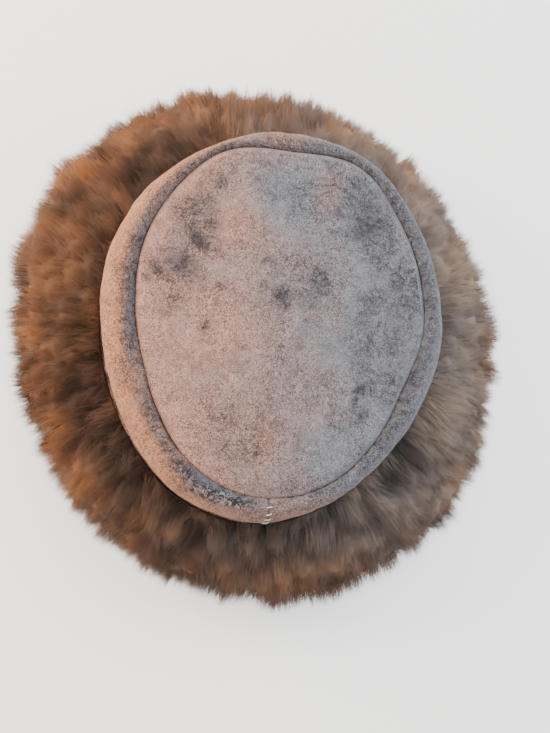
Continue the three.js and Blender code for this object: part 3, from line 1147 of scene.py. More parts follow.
@dataclass
class CrownTip:
    """The flat oval panel on top, slack and a little puffed, with its edge rolled down into the seam."""

    form: HatForm
    columns: int = 380
    flat_rows: int = 54
    edge_rows: int = 12
    edge_width: float = 7.0
    edge_rise: float = 3.0
    dome_rise: float = 3.5
    slack: float = 0.35
    pucker: float = 0.22
    sewn: float = 0.06
    # Width of the painted shade in the seam crease.
    crease_shade_width: float = 0.6
    # Place and width of the painted highlight just inside the tip's edge.
    highlight_inset: float = 1.4
    highlight_width: float = 1.1
    # The bearing that the painted warm light on the edge faces, and its width.
    lit_bearing: float = 190.0
    lit_width: float = 11.0
    relief: Relief = field(default_factory=lambda: Relief(3))

    def build(self) -> Piece:
        """Builds the panel.

        Returns:
            The object.
        """
        bearing = even_bearings(self.columns)
        seam = self.form.plan("tip", bearing) + self.sewn
        under = self._flat(bearing, seam, np.linspace(0.0, 1.0, 12), -self.form.skin)
        inner = self._down(bearing, seam - self.form.skin, np.linspace(0.0, 1.0, 3))
        outer = self._down(bearing, seam, np.linspace(1.0, 0.0, 4))
        edge = self._edge(bearing, seam)
        top = self._flat(bearing, seam, np.linspace(1.0, 0.0, self.flat_rows), 0.0)
        points = np.concatenate([under, inner, outer, edge, top[1:]])
        made = MeshMaker.lens("crown_panel", points)
        self._wear(made)
        return made

    def _flat(self, bearing: Array, seam: Array, shares: Array, drop: float) -> Array:
        """Rows of the flat part, above or below.

        Args:
            bearing: the columns' bearings.
            seam: the seam's distance from the axis at each.
            shares: the rows' shares of the way out to the edge.
            drop: how far they lie above the top side.

        Returns:
            The points.
        """
        share = shares[:, None]
        radius = (seam - self.edge_width)[None, :] * share
        flat = around(bearing[None, :], radius, np.zeros_like(radius))
        fade = 1.0 - share**2
        rise = self.dome_rise * fade + self._dents(flat) * np.minimum(1.0, 3.0 * fade)
        loose = self.relief.rough(flat, 26.0) * self.slack + self.relief.at(flat, 7.0) * 0.07
        height = self.form.seam_height + self.edge_rise + rise + loose * (0.35 + 0.65 * fade)
        return around(bearing[None, :], radius, height + drop)

    @staticmethod
    def _dents(points: Array) -> Array:
        """How far the dents lift or sink the panel at points."""
        total = np.zeros(points.shape[:-1])
        for dent in TIP_DENTS:
            away = np.hypot(points[..., 0] - dent.x, points[..., 1] - dent.y) / dent.radius
            total += np.where(away < 1.0, dent.rise * np.cos(np.minimum(away, 1.0) * math.pi / 2.0) ** 2, 0.0)
        return total

    def _down(self, bearing: Array, radius: Array, shares: Array) -> Array:
        """Rows of the seam allowance.

        Args:
            bearing: the columns' bearings.
            radius: the allowance's distance from the axis at each.
            shares: the rows' shares of the way down.

        Returns:
            The points.
        """
        height = self.form.seam_height - self.form.allowance * shares[:, None]
        return around(bearing[None, :], radius[None, :], height)

    def _edge(self, bearing: Array, seam: Array) -> Array:
        """Rows of the rolled edge, from the seam up.

        Args:
            bearing: the columns' bearings.
            seam: the seam's distance from the axis at each.

        Returns:
            The points.
        """
        angle = np.radians(np.linspace(0.0, 90.0, self.edge_rows + 1)[1:-1])[:, None]
        flat = around(bearing[None, :], seam[None, :], np.full((1, self.columns), self.form.seam_height))
        gather = self.relief.at(flat, 3.4) * self.pucker + self.relief.at(flat, 15.0) * self.pucker
        radius = (seam - self.edge_width)[None, :] + self.edge_width * np.cos(angle)
        height = self.form.seam_height + self.edge_rise * np.sin(angle) + gather * np.sin(2.0 * angle)
        return around(bearing[None, :], radius, height)

    def _wear(self, made: Piece) -> None:
        """Stores the panel's stains, the painted shade in its seam crease, the painted highlight of its pale
        rim and the painted warm light on the edge that faces the light.
        """
        points = MeshMaker.points_of(made)
        bearing = np.degrees(np.arctan2(points[:, 1], points[:, 0]))
        inset = self.form.plan("tip", bearing) - np.hypot(points[:, 0], points[:, 1])
        inset = np.maximum(inset, 0.0)
        shade = seam_shade(bearing)
        # Painted highlight: a pale line just inside the tip's edge, left out where the seam is shaded.
        rim = bell(inset - self.highlight_inset, self.highlight_width) * (1.0 - shade)
        # Painted light: the edge is warmer and paler on the side that faces the key light.
        facing = np.clip(np.cos(np.radians(bearing - self.lit_bearing)), 0.0, 1.0)
        lit = bell(inset, self.lit_width) * facing
        grey, warmth = clouds_at(points, TIP_CLOUDS)
        # Painted shade in the seam crease round the tip, as strong as the seam shade table gives at each
        # bearing.
        crease = np.exp(-inset / self.crease_shade_width) * shade
        Wear(TIP_STAINS, crease, grey - 1.6 * rim - 0.5 * lit, warmth + 0.95 * lit).store(made)

    def dress(self, made: Piece) -> None:
        """Gives the panel its suede, in place of the imported tip."""
        dress(made, Suede("tip_suede").material(), "crown_tip")


@dataclass
class SideBand:
    """The wall of the crown, which rolls over a soft ridge and goes down into the seam round the tip."""

    form: HatForm
    columns: int = 560
    seam_columns: int = 36
    wall_rows: int = 18
    outer_rows: int = 26
    inner_rows: int = 14
    inside_rows: int = 10
    seam_depth: float = 0.7
    seam_width: float = 0.8
    mm_along: float = 17.0
    slack: float = 0.6
    lumps: float = 0.3
    wrinkles: float = 0.16
    pucker: float = 0.28
    pucker_count: float = 96.0
    pucker_at: float = 1.32
    pucker_width: float = 0.3
    # Width of the painted shade in the seam crease, and strength and width of the painted shade in the back
    # seam's groove.
    crease_shade_width: float = 1.2
    back_radius: float = 112.0
    back_crease_shade: float = 0.4
    back_crease_shade_width: float = 0.5
    relief: Relief = field(default_factory=lambda: Relief(8))

    def bearings(self) -> Array:
        """The columns' bearings, closer together at the back seam."""
        even = even_bearings(self.columns)
        close = self.form.back_seam + np.linspace(-1.6, 1.6, self.seam_columns)
        apart = np.abs(turn_between(even, self.form.back_seam)) > 1.65
        return np.sort(np.concatenate([even[apart], close]))

    def build(self) -> Piece:
        """Builds the band.

        Returns:
            The object.
        """
        bearing = self.bearings()[None, :]
        radius, height, along = self._outside(bearing)
        shift = self._relief(bearing, radius, height, along)
        run = np.gradient(radius, axis=0)
        rise = np.gradient(height, axis=0)
        length = np.maximum(np.hypot(run, rise), 1e-6)
        radius = radius + shift * rise / length
        height = height - shift * run / length
        inside_radius, inside_height = self._inside(bearing)
        sides = [around(bearing, radius, height), around(bearing, inside_radius, inside_height)]
        made = MeshMaker.tube("crown_band", np.concatenate(sides))
        self._wear(made, bearing, along, len(inside_radius))
        return made

    def _edges(self, bearing: Array) -> tuple[Array, Array, Array]:
        """Distances from the axis to the shoulder, the ridge and the seam."""
        shoulder = self.form.plan("shoulder", bearing)
        seam = self.form.plan("tip", bearing)
        return shoulder, blend(shoulder, seam, self.form.ridge_at), seam

    def _outside(self, bearing: Array) -> tuple[Array, Array, Array]:
        """The outer side, from the rim up and over the roll.

        Args:
            bearing: the columns' bearings, in one row.

        Returns:
            Radii and heights by rows and columns, and how far along the roll each row lies.
        """
        form = self.form
        shoulder, ridge, seam = self._edges(bearing)
        share = np.linspace(0.0, 1.0, self.wall_rows, endpoint=False)[:, None] ** 0.75
        wall_height = blend(form.fold + form.gap, form.shoulder_height, share) + 0.0 * bearing
        outer = np.radians(np.linspace(0.0, 90.0, self.outer_rows, endpoint=False))[:, None]
        inner = np.radians(np.linspace(90.0, 180.0, self.inner_rows))[:, None]
        radius = stack_rows(
            bearing,
            form.wall(bearing, wall_height),
            ridge + (shoulder - ridge) * np.cos(outer),
            ridge + (ridge - seam) * np.cos(inner),
            seam,
        )
        height = stack_rows(
            bearing,
            wall_height,
            form.shoulder_height + form.ridge_rise * np.sin(outer),
            form.seam_height + form.seam_drop * np.sin(inner),
            form.seam_height - form.allowance,
        )
        roll = [np.degrees(outer) / 90.0, 1.0 + (np.degrees(inner) - 90.0) / 225.0]
        return radius, height, np.concatenate([(share - 1.0) * 2.0, *roll, [[BELOW_SEAM]]])

    def _inside(self, bearing: Array) -> tuple[Array, Array]:
        """The inner side, from the seam allowance back down to the rim.

        Args:
            bearing: the columns' bearings, in one row.

        Returns:
            Radii and heights by rows and columns.
        """
        form = self.form
        shoulder, ridge, seam = self._edges(bearing)
        skin = form.skin
        thin_drop = max(form.seam_drop - skin, 1.0)
        inner = np.radians(np.linspace(180.0, 90.0, 6, endpoint=False))[:, None]
        outer = np.radians(np.linspace(90.0, 0.0, 8, endpoint=False))[:, None]
        share = np.linspace(1.0, 0.0, self.inside_rows)[:, None]
        wall_height = blend(form.fold + form.gap, form.shoulder_height, share) + 0.0 * bearing
        radius = stack_rows(
            bearing,
            seam + skin,
            ridge + (ridge - seam - skin) * np.cos(inner),
            ridge + (shoulder - ridge - skin) * np.cos(outer),
            form.wall(bearing, wall_height) - skin,
        )
        height = stack_rows(
            bearing,
            form.seam_height - form.allowance,
            form.ridge_height - thin_drop - skin + thin_drop * np.sin(inner),
            form.shoulder_height + (form.ridge_rise - skin) * np.sin(outer),
            wall_height,
        )
        return radius, height

    def _relief(self, bearing: Array, radius: Array, height: Array, along: Array) -> Array:
        """How far the outer side stands off its plain form.

        Args:
            bearing: the columns' bearings, in one row.
            radius: the rows' radii.
            height: the rows' heights.
            along: how far along the roll each row lies.

        Returns:
            Distances along the surface's normal.
        """
        points = around(bearing, radius, height)
        upper = smooth(along, -0.9, -0.2) * (1.0 - smooth(along, 1.36, 1.42))
        shift = self.relief.rough(points, 22.0) * self.slack * upper
        wrinkles = self.relief.at(points, 5.0) * self.wrinkles
        shift += (wrinkles + self.relief.at(points + 50.0, 10.0) * self.lumps) * upper
        for valley in BAND_VALLEYS:
            middle = (valley.start + valley.end) / 2.0
            half = (valley.end - valley.start) / 2.0
            away = np.abs(turn_between(bearing, middle)) / half
            across = bell(along - valley.along, valley.width)
            shift -= valley.depth * np.clip(1.0 - away**2, 0.0, 1.0) * across
        near_seam = bell(along - self.pucker_at, self.pucker_width)
        gathers = np.sin(np.radians(bearing) * self.pucker_count + 2.4 * self.relief.at(points, 9.0))
        strength = 0.35 + 0.65 * (self.relief.at(points * [1.0, 1.0, 0.0] + 40.0, 24.0) > 0.0)
        shift += self.pucker * gathers * near_seam * strength
        off_seam = np.abs(turn_between(bearing, self.form.back_seam)) * np.radians(radius)
        shift -= self.seam_depth * bell(off_seam, self.seam_width) * smooth(along, -2.0, -1.6)
        return shift * (along < BELOW_SEAM)

    def _wear(self, made: Piece, bearing: Array, along: Array, inside: int) -> None:
        """Stores the band's stains, the painted shade in its seam crease, back seam and inner slope, the
        painted warm light on its outer slope, and the patches along its seam.

        Args:
            made: the band.
            bearing: the columns' bearings, in one row.
            along: how far along the roll each outer row lies.
            inside: how many rows the inner side has, which stay plain.
        """
        # Painted shade in the seam crease under the roll and in the groove of the back seam.
        from_seam = ((AT_SEAM - along) * self.mm_along).clip(0.0)
        crease = np.exp(-((from_seam / self.crease_shade_width) ** 1.2)) * seam_shade(bearing)
        off_seam = np.abs(turn_between(bearing, self.form.back_seam)) * math.radians(self.back_radius)
        crease = np.maximum(crease, self.back_crease_shade * bell(off_seam, self.back_crease_shade_width))
        # Painted shade: the inner slope of the roll, facing away from the side lights, is greyer and cooler;
        # painted warm light makes the outer slope warmer.
        inner = smooth(along, 0.75, 1.2) * (0.2 + 0.8 * np.abs(np.cos(np.radians(bearing))) ** 1.2)
        warmth = 0.2 * (1.0 - smooth(along, 0.3, 0.8)) - inner * 0.55
        plain = np.zeros((inside, bearing.shape[1]))
        on_outside = np.concatenate([np.ones_like(crease), plain]).ravel()
        # The patches along the seam add painted shade to the band's outer side.
        more = [values * on_outside for values in clouds_at(MeshMaker.points_of(made), BAND_SEAM_SHADE_CLOUDS)]
        outside = (crease, inner - 0.1, warmth)
        crease, grey, warmth = (np.concatenate([rows, plain]).ravel() for rows in outside)
        Wear(BAND_STAINS, crease, grey + more[0], warmth + more[1]).store(made)

    def dress(self, made: Piece) -> None:
        """Gives the band its suede, in place of the imported band."""
        finish = Suede("band_suede", (0.415, 0.198, 0.122), (0.15, 0.155, 0.178), mottle=0.6, crackle=0.95)
        dress(made, finish.material(), "side_band")


@dataclass
class BackStitches:
    """White whip stitches that close the band at the back."""

    form: HatForm
    length: float = 5.4
    thickness: float = 0.7
    arch: float = 0.75
    sides: int = 8
    steps: int = 12
    lean: float = 13.0
    lean_change: float = 7.0
    roll_angles: tuple[float, ...] = (96.0, 66.0, 42.0, 20.0, 2.0)
    wall_heights: tuple[float, ...] = (85.5, 80.0, 74.5)

    def build(self) -> Piece:
        """Builds the stitches as one mesh.

        Returns:
            The object.
        """
        points = []
        corners = []
        for number, (place, normal, across) in enumerate(self._places()):
            turn = math.radians(self.lean + self.lean_change * math.sin(2.1 * number))
            way = across * math.cos(turn) - np.cross(across, normal) * math.sin(turn)
            corners.append(grid_faces(self.steps, self.sides, number * self.steps * self.sides))
            points.append(self._stitch(place, way, normal))
        flat = np.concatenate(corners)
        return MeshMaker.write("back_stitches", np.vstack(points), flat, np.full(flat.size // 4, 4))

    def _places(self) -> list[tuple[Array, Array, Array]]:
        """Where each stitch lies: its middle, the surface's normal, and the way across the seam."""
        form = self.form
        heading = form.back_seam
        shoulder = float(form.plan("shoulder", heading))
        seam = float(form.plan("tip", heading))
        ridge = blend(shoulder, seam, form.ridge_at)
        found = []
        for angle in self.roll_angles:
            half = (shoulder - ridge, form.ridge_rise) if angle < 90.0 else (ridge - seam, form.seam_drop)
            middle = form.shoulder_height if angle < 90.0 else form.seam_height
            c = math.cos(math.radians(angle))
            s = math.sin(math.radians(angle))
            found.append((ridge + half[0] * c, middle + half[1] * s, c / half[0], s / half[1]))
        for height in self.wall_heights:
            found.append((float(form.wall(heading, height)), height, 1.0, 0.05))
        out, across = level(heading)
        places = []
        for radius, height, outward, upward in found:
            normal = unit(out * outward + np.array([0.0, 0.0, upward]))
            place = out * (radius - 0.1) + np.array([0.0, 0.0, height]) - normal * 0.25
            places.append((place, normal, across))
        return places

    def _stitch(self, place: Array, way: Array, normal: Array) -> Array:
        """The points of one stitch, a bent thread whose ends go into the skin.

        Args:
            place: the middle of the stitch.
            way: the direction it runs in.
            normal: the surface's normal.

        Returns:
            The points, ring after ring.
        """
        share = np.linspace(-1.0, 1.0, self.steps)[:, None]
        middle = place + way * share * self.length / 2.0 + normal * self.arch * (1.0 - 2.0 * share**4)
        angle = np.linspace(0.0, 2.0 * math.pi, self.sides, endpoint=False)[None, :, None]
        thin = self.thickness / 2.0 * (1.0 - 0.35 * share**6)
        ring = np.cos(angle) * np.cross(normal, way) + np.sin(angle) * normal
        return (middle[:, None, :] + thin[:, None] * ring).reshape(-1, 3)

    def dress(self, made: Piece) -> None:
        """Gives the stitches their thread."""
        made.data.materials.append(Thread("white_thread").material())
        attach(made, "root")


@dataclass
class CuffSkin:
    """The skin of the cuff, which folds under the band and stands up behind the wool."""

    form: HatForm
    columns: int = 200
    fold_width: float = 9.0
    top: float = 77.0

    def build(self) -> Piece:
        """Builds the skin.

        Returns:
            The object.
        """
        form = self.form
        bearing = (even_bearings(self.columns))[None, :]
        inner = form.rim(bearing) - form.skin
        heights = np.linspace(5.0, self.top, 14)[:, None]
        outer = form.wall(bearing, heights) + form.gap + form.skin
        back = form.wall(bearing, heights[::-1]) + form.gap
        under = [inner + off for off in (0.0, 0.5, 1.6, self.fold_width - 2.0, self.fold_width - 0.4)]
        top = [outer[-1:] - 0.8, back[:1] + 0.5]
        end = [form.rim(bearing) + form.gap, inner + 1.0, inner + 0.2]
        radius = np.concatenate([*under, outer, *top, back, *end])
        levels = [1.5, 0.4, 0.0, 0.0, 1.0, *heights[:, 0], self.top + 0.7, self.top + 0.7]
        levels += [*heights[::-1, 0], form.fold, form.fold - 0.1, form.fold - 0.6]
        made = MeshMaker.tube("cuff_skin", around(bearing, radius, np.array(levels)[:, None]))
        Wear().store(made)
        return made

    def dress(self, made: Piece) -> None:
        """Gives the skin its suede, in place of the imported cuff."""
        finish = Suede("cuff_suede", warm=(0.30, 0.20, 0.16), cool=(0.17, 0.15, 0.15))
        dress(made, finish.material(), "fleece_cuff")


@dataclass(frozen=True)
class CoatFace:
    """The lumpy outer face of the wool."""

    form: HatForm
    stand_off: float = 1.0
    lump: float = 3.4
    lump_spacing: float = 27.0
    low: float = -84.0
    high: float = 87.0
    relief: Relief = field(default_factory=lambda: Relief(21))

    def at(self, bearing: Array, elevation: Array, off: Any = 0.0) -> Array:
        """Points on the face, or off it.

        Args:
            bearing: angles in degrees.
            elevation: angles above the level in the section at each bearing.
            off: how far they stand off the face.

        Returns:
            The points.
        """
        radius, height = self.form.fleece(bearing, elevation)
        points = around(bearing, radius, height)
        lumps = self.relief.rough(points * [1.0, 1.0, 0.75], self.lump_spacing, 3) * self.lump
        radius, height = self.form.fleece(bearing, elevation, self.stand_off + lumps + off)
        return around(bearing, radius, height)

    def normal(self, bearing: Array, elevation: Array) -> Array:
        """The face's normals."""
        beside = self.at(bearing + 1.2, elevation) - self.at(bearing - 1.2, elevation)
        above = self.at(bearing, elevation + 2.0) - self.at(bearing, elevation - 2.0)
        return unit(np.cross(beside, above))

    def spread(self, share: Array) -> Array:
        """Elevations that share the face's area out evenly.

        Args:
            share: shares of the area, from the lowest line up.

        Returns:
            Elevations in degrees.
        """
        steps = np.linspace(self.low, self.high, 160)
        bearing = np.arange(0.0, 360.0, 15.0)[:, None]
        radius, height = self.form.fleece(bearing, steps[None, :])
        length = np.hypot(np.diff(radius, axis=1), np.diff(height, axis=1)) * radius[:, 1:]
        total = np.concatenate([[0.0], np.cumsum(length.mean(axis=0))])
        return np.interp(share, total / total[-1], steps)


class Coat:
    """The soft locks that the wool gathers into, and the wool's colours over them, with painted shade between
    the locks.
    """

    near_crown = (20.0, 78.0)
    near_rim = (-5.0, 45.0)
    base_tint = 0.66
    base_tone = 0.88
    tint_change = 0.18
    tone_change = 0.3
    # How much painted shade darkens the edges of each lock, where the locks meet.
    lock_edge_shade = 0.13
    lock_radius = 8.5
    lock_rise = 2.0
    lock_fall = 3.2

    def __init__(self, form: HatForm, count: int = 640, seed: int = 11) -> None:
        """Spreads the locks over the coat.

        Args:
            form: the hat's sizes.
            count: how many locks there are.
            seed: the seed of what varies from lock to lock.
        """
        rng = np.random.default_rng(seed)
        self.face = CoatFace(form)
        self.patches = Relief(34)
        bearing, share = spiral(count)
        bearing = bearing + rng.normal(0.0, 2.4, count)
        elevation = self.face.spread(share) + rng.normal(0.0, 5.0, count)
        self.middles = self.face.at(bearing, np.clip(elevation, self.face.low, self.face.high))
        self.tone = rng.normal(0.0, 0.075, count)
        self.tint = rng.normal(0.0, 0.05, count)
        self.sway = rng.normal(0.0, 0.9, (count, 2))
        self.reach = rng.normal(0.0, 1.5, count)
        self.tree = kdtree.KDTree(count)
        for number, middle in enumerate(self.middles):
            self.tree.insert(middle, number)
        self.tree.balance()

    def locks_at(self, points: Array) -> Array:
        """The number of the lock nearest to each point."""
        return np.array([self.tree.find(point)[1] for point in points])

    def lift(self, away: Array) -> Array:
        """How far the wool swells, by the distance from its lock's middle."""
        return self.lock_rise - self.lock_fall * smooth(away, 0.0, self.lock_radius)

    def colour(self, points: Array, elevation: Array, lock: Array, away: Array) -> tuple[Array, Array]:
        """The wool's colour: greyer near the crown, rusty at the rim, and warmer and darker on the left,
        partly with painted light, with painted shade under the crown and between the locks.

        Args:
            points: places in mm.
            elevation: their elevations on the coat.
            lock: the lock that each belongs to.
            away: their distances from its middle.

        Returns:
            The tint, from grey at 0 to rust at 1, and the tone, from dark at 0 to pale at 1.
        """
        x = points[..., 0]
        y = points[..., 1]
        east = np.maximum(x, 0.0)
        south = np.maximum(-y, 0.0)
        near = smooth(elevation, *self.near_crown)
        rim = 1.0 - smooth(elevation, *self.near_rim)
        # The tint leans warmer towards -X and greyer towards +X and -Y: partly the wool's own colour and
        # partly painted warm light from the key and cool light from the fill.
        tint = self.base_tint - x / 290.0 + self.patches.at(points - 50.0, 34.0) * self.tint_change
        tint = tint - near * (0.16 + x / 500.0 + east / 1500.0 + south / 500.0)
        tint = tint + rim * (0.26 + x / 600.0 + east / 1200.0) + self.tint[lock]
        mottled = self.patches.rough(points + 33.0, 24.0, 2) * self.tone_change
        # Paler towards +X and +Y: partly the wool's own colour and partly painted light.
        tone = self.base_tone + x / 1150.0 + y / 1500.0 + mottled
        # Darker near the crown, from the wool's dark roots and painted shade under the crown's edge, and a
        # little darker low on the rim.
        tone = tone - near * (0.44 - x / 900.0) - rim * (0.06 + east / 1500.0)
        # Painted light: paler towards -X and -Y.
        tone = tone + 0.1 * smooth(-x - y, 150.0, 205.0)
        # Painted shade: each lock is darker at its edges, where it meets the next.
        tone = tone + self.tone[lock] - self.lock_edge_shade * smooth(away, 2.0, 8.0)
        return tint, tone


@dataclass
class MattedWool:
    """The matted wool under the strands, which gives the coat its lumps."""

    form: HatForm
    coat: Coat
    columns: int = 460
    rows: int = 80
    depth: float = 4.2
    # Painted shade: how much darker the mat is than the strands above it.
    shade: float = 0.09

    def build(self) -> Piece:
        """Builds the mat.

        Returns:
            The object.
        """
        form = self.form
        face = self.coat.face
        bearing = (even_bearings(self.columns))[None, :]
        elevation = np.linspace(face.low, face.high, self.rows)[:, None]
        plain = face.at(bearing, elevation)
        lock = self.coat.locks_at(plain.reshape(-1, 3)).reshape(plain.shape[:2])
        distance = np.linalg.norm(plain - self.coat.middles[lock], axis=2)
        tint, tone = self.coat.colour(plain, elevation, lock, distance)
        outer = face.at(bearing, elevation, self.coat.lift(distance) - self.depth)
        height = np.clip(outer[..., 2], form.fold + 0.6, None)
        away = np.hypot(outer[..., 0], outer[..., 1])
        away = np.maximum(away, form.wall(bearing, height) + form.gap + form.skin + 0.4)
        outer = around(bearing, away, height)
        inner_height = np.linspace(70.0, 8.0, 6)[:, None]
        inner = form.wall(bearing, inner_height) + form.gap + form.skin + 0.2
        back = around(bearing, inner, np.minimum(inner_height, height[-1:] - 0.5))
        made = MeshMaker.tube("matted_wool", np.concatenate([outer, back]))
        rest = np.full((len(back), self.columns), 0.2)
        MeshMaker.store(made, "tint", np.concatenate([tint, rest]).ravel())
        # The mat's tone takes the painted shade of the strands over it.
        MeshMaker.store(made, "tone", np.concatenate([tone - self.shade, rest]).ravel())
        return made

    def dress(self, made: Piece) -> None:
        """Gives the mat its finish."""
        dress(made, Wool("matted_wool").matted(), "fleece_cuff")


class Tufts(NamedTuple):
    """Where tufts stand, their locks, their places from the locks' middles, and how they lean and reach."""

    bearing: Array
    elevation: Array
    lock: Array
    beside: Array
    above: Array
    sway: Array
    reach: Array


class Strands(NamedTuple):
    """The strands' middle lines, the coat's normals at them, and their tints and tones."""

    line: Array
    normal: Array
    tint: Array
    tone: Array


@dataclass
class LongWool:
    """The ends of the wool's strands, in small curved tufts over the lumpy face, joined in four pieces."""

    form: HatForm
    coat: Coat
    tufts: int = 8100
    strands: int = 28
    segments: int = 2
    length: float = 19.0
    lengths: tuple[float, float] = (0.75, 1.2)
    width: float = 0.25
    widths: tuple[float, float] = (0.7, 1.25)
    twist: float = 0.6
    tuft_radius: float = 2.8
    mm_per_degree: float = 2.55
    degrees_per_mm: float = 1.15
    gather: float = 0.42
    stray_gather: float = 0.1
    lock_gather: float = 0.16
    sway: float = 0.17
    scatter: float = 0.12
    sweep_aside: float = 0.32
    sweep_upward: float = 0.3
    sweep_size: float = 34.0
    over_face: float = 2.6
    over_scatter: float = 1.5
    over_limits: tuple[float, float] = (-2.5, 9.5)
    stray_over: tuple[float, float] = (1.0, 5.5)
    rounding: float = 9.0
    droop: float = 1.4
    fall: float = 0.1
    off_floor: float = 0.6
    off_crown: float = 0.3
    stray_share: float = 0.08
    seed: int = 5
    quarters: tuple[str, ...] = ("wool_right", "wool_front", "wool_left", "wool_back")

    def build(self) -> list[Piece]:
        """Builds the four pieces.

        Returns:
            The objects, in the order of the quarters.
        """
        rng = np.random.default_rng(self.seed)
        strands = self._strands(rng, self._tufts(rng))
        root = strands.line[:, 0]
        bearing = np.degrees(np.arctan2(root[:, 1], root[:, 0]))
        made = []
        for number, name in enumerate(self.quarters):
            offset = turn_between(bearing, 90.0 * number)
            chosen = (offset >= -45.0) & (offset < 45.0)
            made.append(self._ribbons(rng, name, Strands(*(values[chosen] for values in strands))))
        return made

    def _tufts(self, rng: np.random.Generator) -> Tufts:
        """The tufts, each repeated for all of its strands.

        Args:
            rng: the source of small irregularities.

        Returns:
            The tufts.
        """
        coat = self.coat
        count = self.tufts
        bearing, share = spiral(count)
        bearing = bearing + rng.normal(0.0, 0.4, count)
        elevation = coat.face.spread(share) + rng.normal(0.0, 0.8, count)
        places = coat.face.at(bearing, elevation)
        lock = coat.locks_at(places)
        offset = places - coat.middles[lock]
        side = level(bearing)[1]
        rise = np.cross(coat.face.normal(bearing, elevation), side)
        sway = rng.normal(0.0, 0.7, (count, 2)) + coat.sway[lock]
        reach = rng.normal(0.0, 0.7, count) + coat.reach[lock] + 0.6
        tufts = Tufts(bearing, elevation, lock, (offset * side).sum(1), (offset * rise).sum(1), sway, reach)
        return Tufts(*(np.repeat(values, self.strands, axis=0) for values in tufts))

    def _strands(self, rng: np.random.Generator, tufts: Tufts) -> Strands:
        """The strands that stand round the middles of their tufts.

        Args:
            rng: the source of small irregularities.
            tufts: each strand's tuft.

        Returns:
            The strands.
        """
        coat = self.coat
        face = coat.face
        count = len(tufts.bearing)
        spread = self.tuft_radius * np.sqrt(rng.uniform(0.0, 1.6, count))
        about = rng.uniform(0.0, 2.0 * math.pi, count)
        aside = spread * np.cos(about)
        above = spread * np.sin(about)
        bearing = tufts.bearing + aside / self.mm_per_degree
        elevation = np.clip(tufts.elevation + above * self.degrees_per_mm, face.low, face.high)
        stray = rng.uniform(0.0, 1.0, count) < self.stray_share
        lock_aside = tufts.beside + aside
        lock_above = tufts.above + above
        distance = np.hypot(lock_aside, lock_above)
        point = face.at(bearing, elevation, coat.lift(distance))
        normal = face.normal(bearing, elevation)
        out, side = level(bearing)
        rise = unit(np.cross(normal, side))
        lean = smooth(elevation, 0.0, 80.0)[:, None]
        way = normal * (0.9 - 0.45 * lean) + out * (0.35 + 0.55 * lean) + np.array([0.0, 0.0, -0.12])
        sway = tufts.sway * self.sway
        sweep = coat.patches.at(point, self.sweep_size)[:, None] * self.sweep_aside
        way = way + side * (sweep + sway[:, :1] + rng.normal(0.0, self.scatter, (count, 1)))
        sweep = coat.patches.at(point + 90.0, self.sweep_size)[:, None] * self.sweep_upward
        way = unit(way + rise * (sweep + sway[:, 1:] + rng.normal(0.0, self.scatter, (count, 1))))
        long = self.length * rng.uniform(*self.lengths, count)
        over = self.over_face + 1.1 * tufts.reach + rng.normal(0.0, self.over_scatter, count)
        over = np.where(stray, over + rng.uniform(*self.stray_over, count), over)
        over = np.clip(over, *self.over_limits)[:, None]
        share = np.linspace(0.0, 1.0, self.segments + 1)[None, :]
        pull = np.where(stray, self.stray_gather, self.gather)[:, None] * share**2.0
        draw = self.lock_gather * share**1.6
        # The bend takes the sways from the other end, so that it doesn't follow the lean.
        bend = (rng.normal(0.0, 1.0, (count, 2)) * 0.7 + tufts.sway[::-1]) * 0.9
        beside = bend[:, :1] * share**2 - aside[:, None] * pull - lock_aside[:, None] * draw
        upward = bend[:, 1:] * share**2 - above[:, None] * pull - lock_above[:, None] * draw
        line = point[:, None, :] + way[:, None, :] * (over - long[:, None] * (1.0 - share))[..., None]
        line = line + side[:, None, :] * beside[..., None] + rise[:, None, :] * upward[..., None]
        line[..., 2] -= self.droop * share**3
        rounding = side * (aside + lock_aside)[:, None] / self.rounding
        rounding = rounding + rise * (above + lock_above)[:, None] / self.rounding
        shading = unit(normal + 0.5 * rounding + 0.12 * out + rng.normal(0.0, 0.015, (count, 3)))
        tint, tone = coat.colour(point, elevation, tufts.lock, distance)
        tint = np.clip(tint + rng.normal(0.0, 0.012, count), 0.02, 0.98)
        tone = np.clip(tone + rng.normal(0.0, 0.015, count), 0.2, 1.0)
        return Strands(self._clear_of_crown(line), shading, tint, tone)

    def _clear_of_crown(self, line: Array) -> Array:
        """The strands' lines, moved out of the crown and off the surface that the hat stands on."""
        form = self.form
        line[..., 2] = np.maximum(line[..., 2], self.off_floor)
        angle = np.degrees(np.arctan2(line[..., 1], line[..., 0]))
        away = np.hypot(line[..., 0], line[..., 1])
        wall = form.wall(angle, np.minimum(line[..., 2], form.shoulder_height))
        least = wall + form.gap + form.skin + self.off_crown
        return around(angle, np.maximum(away, least), line[..., 2])

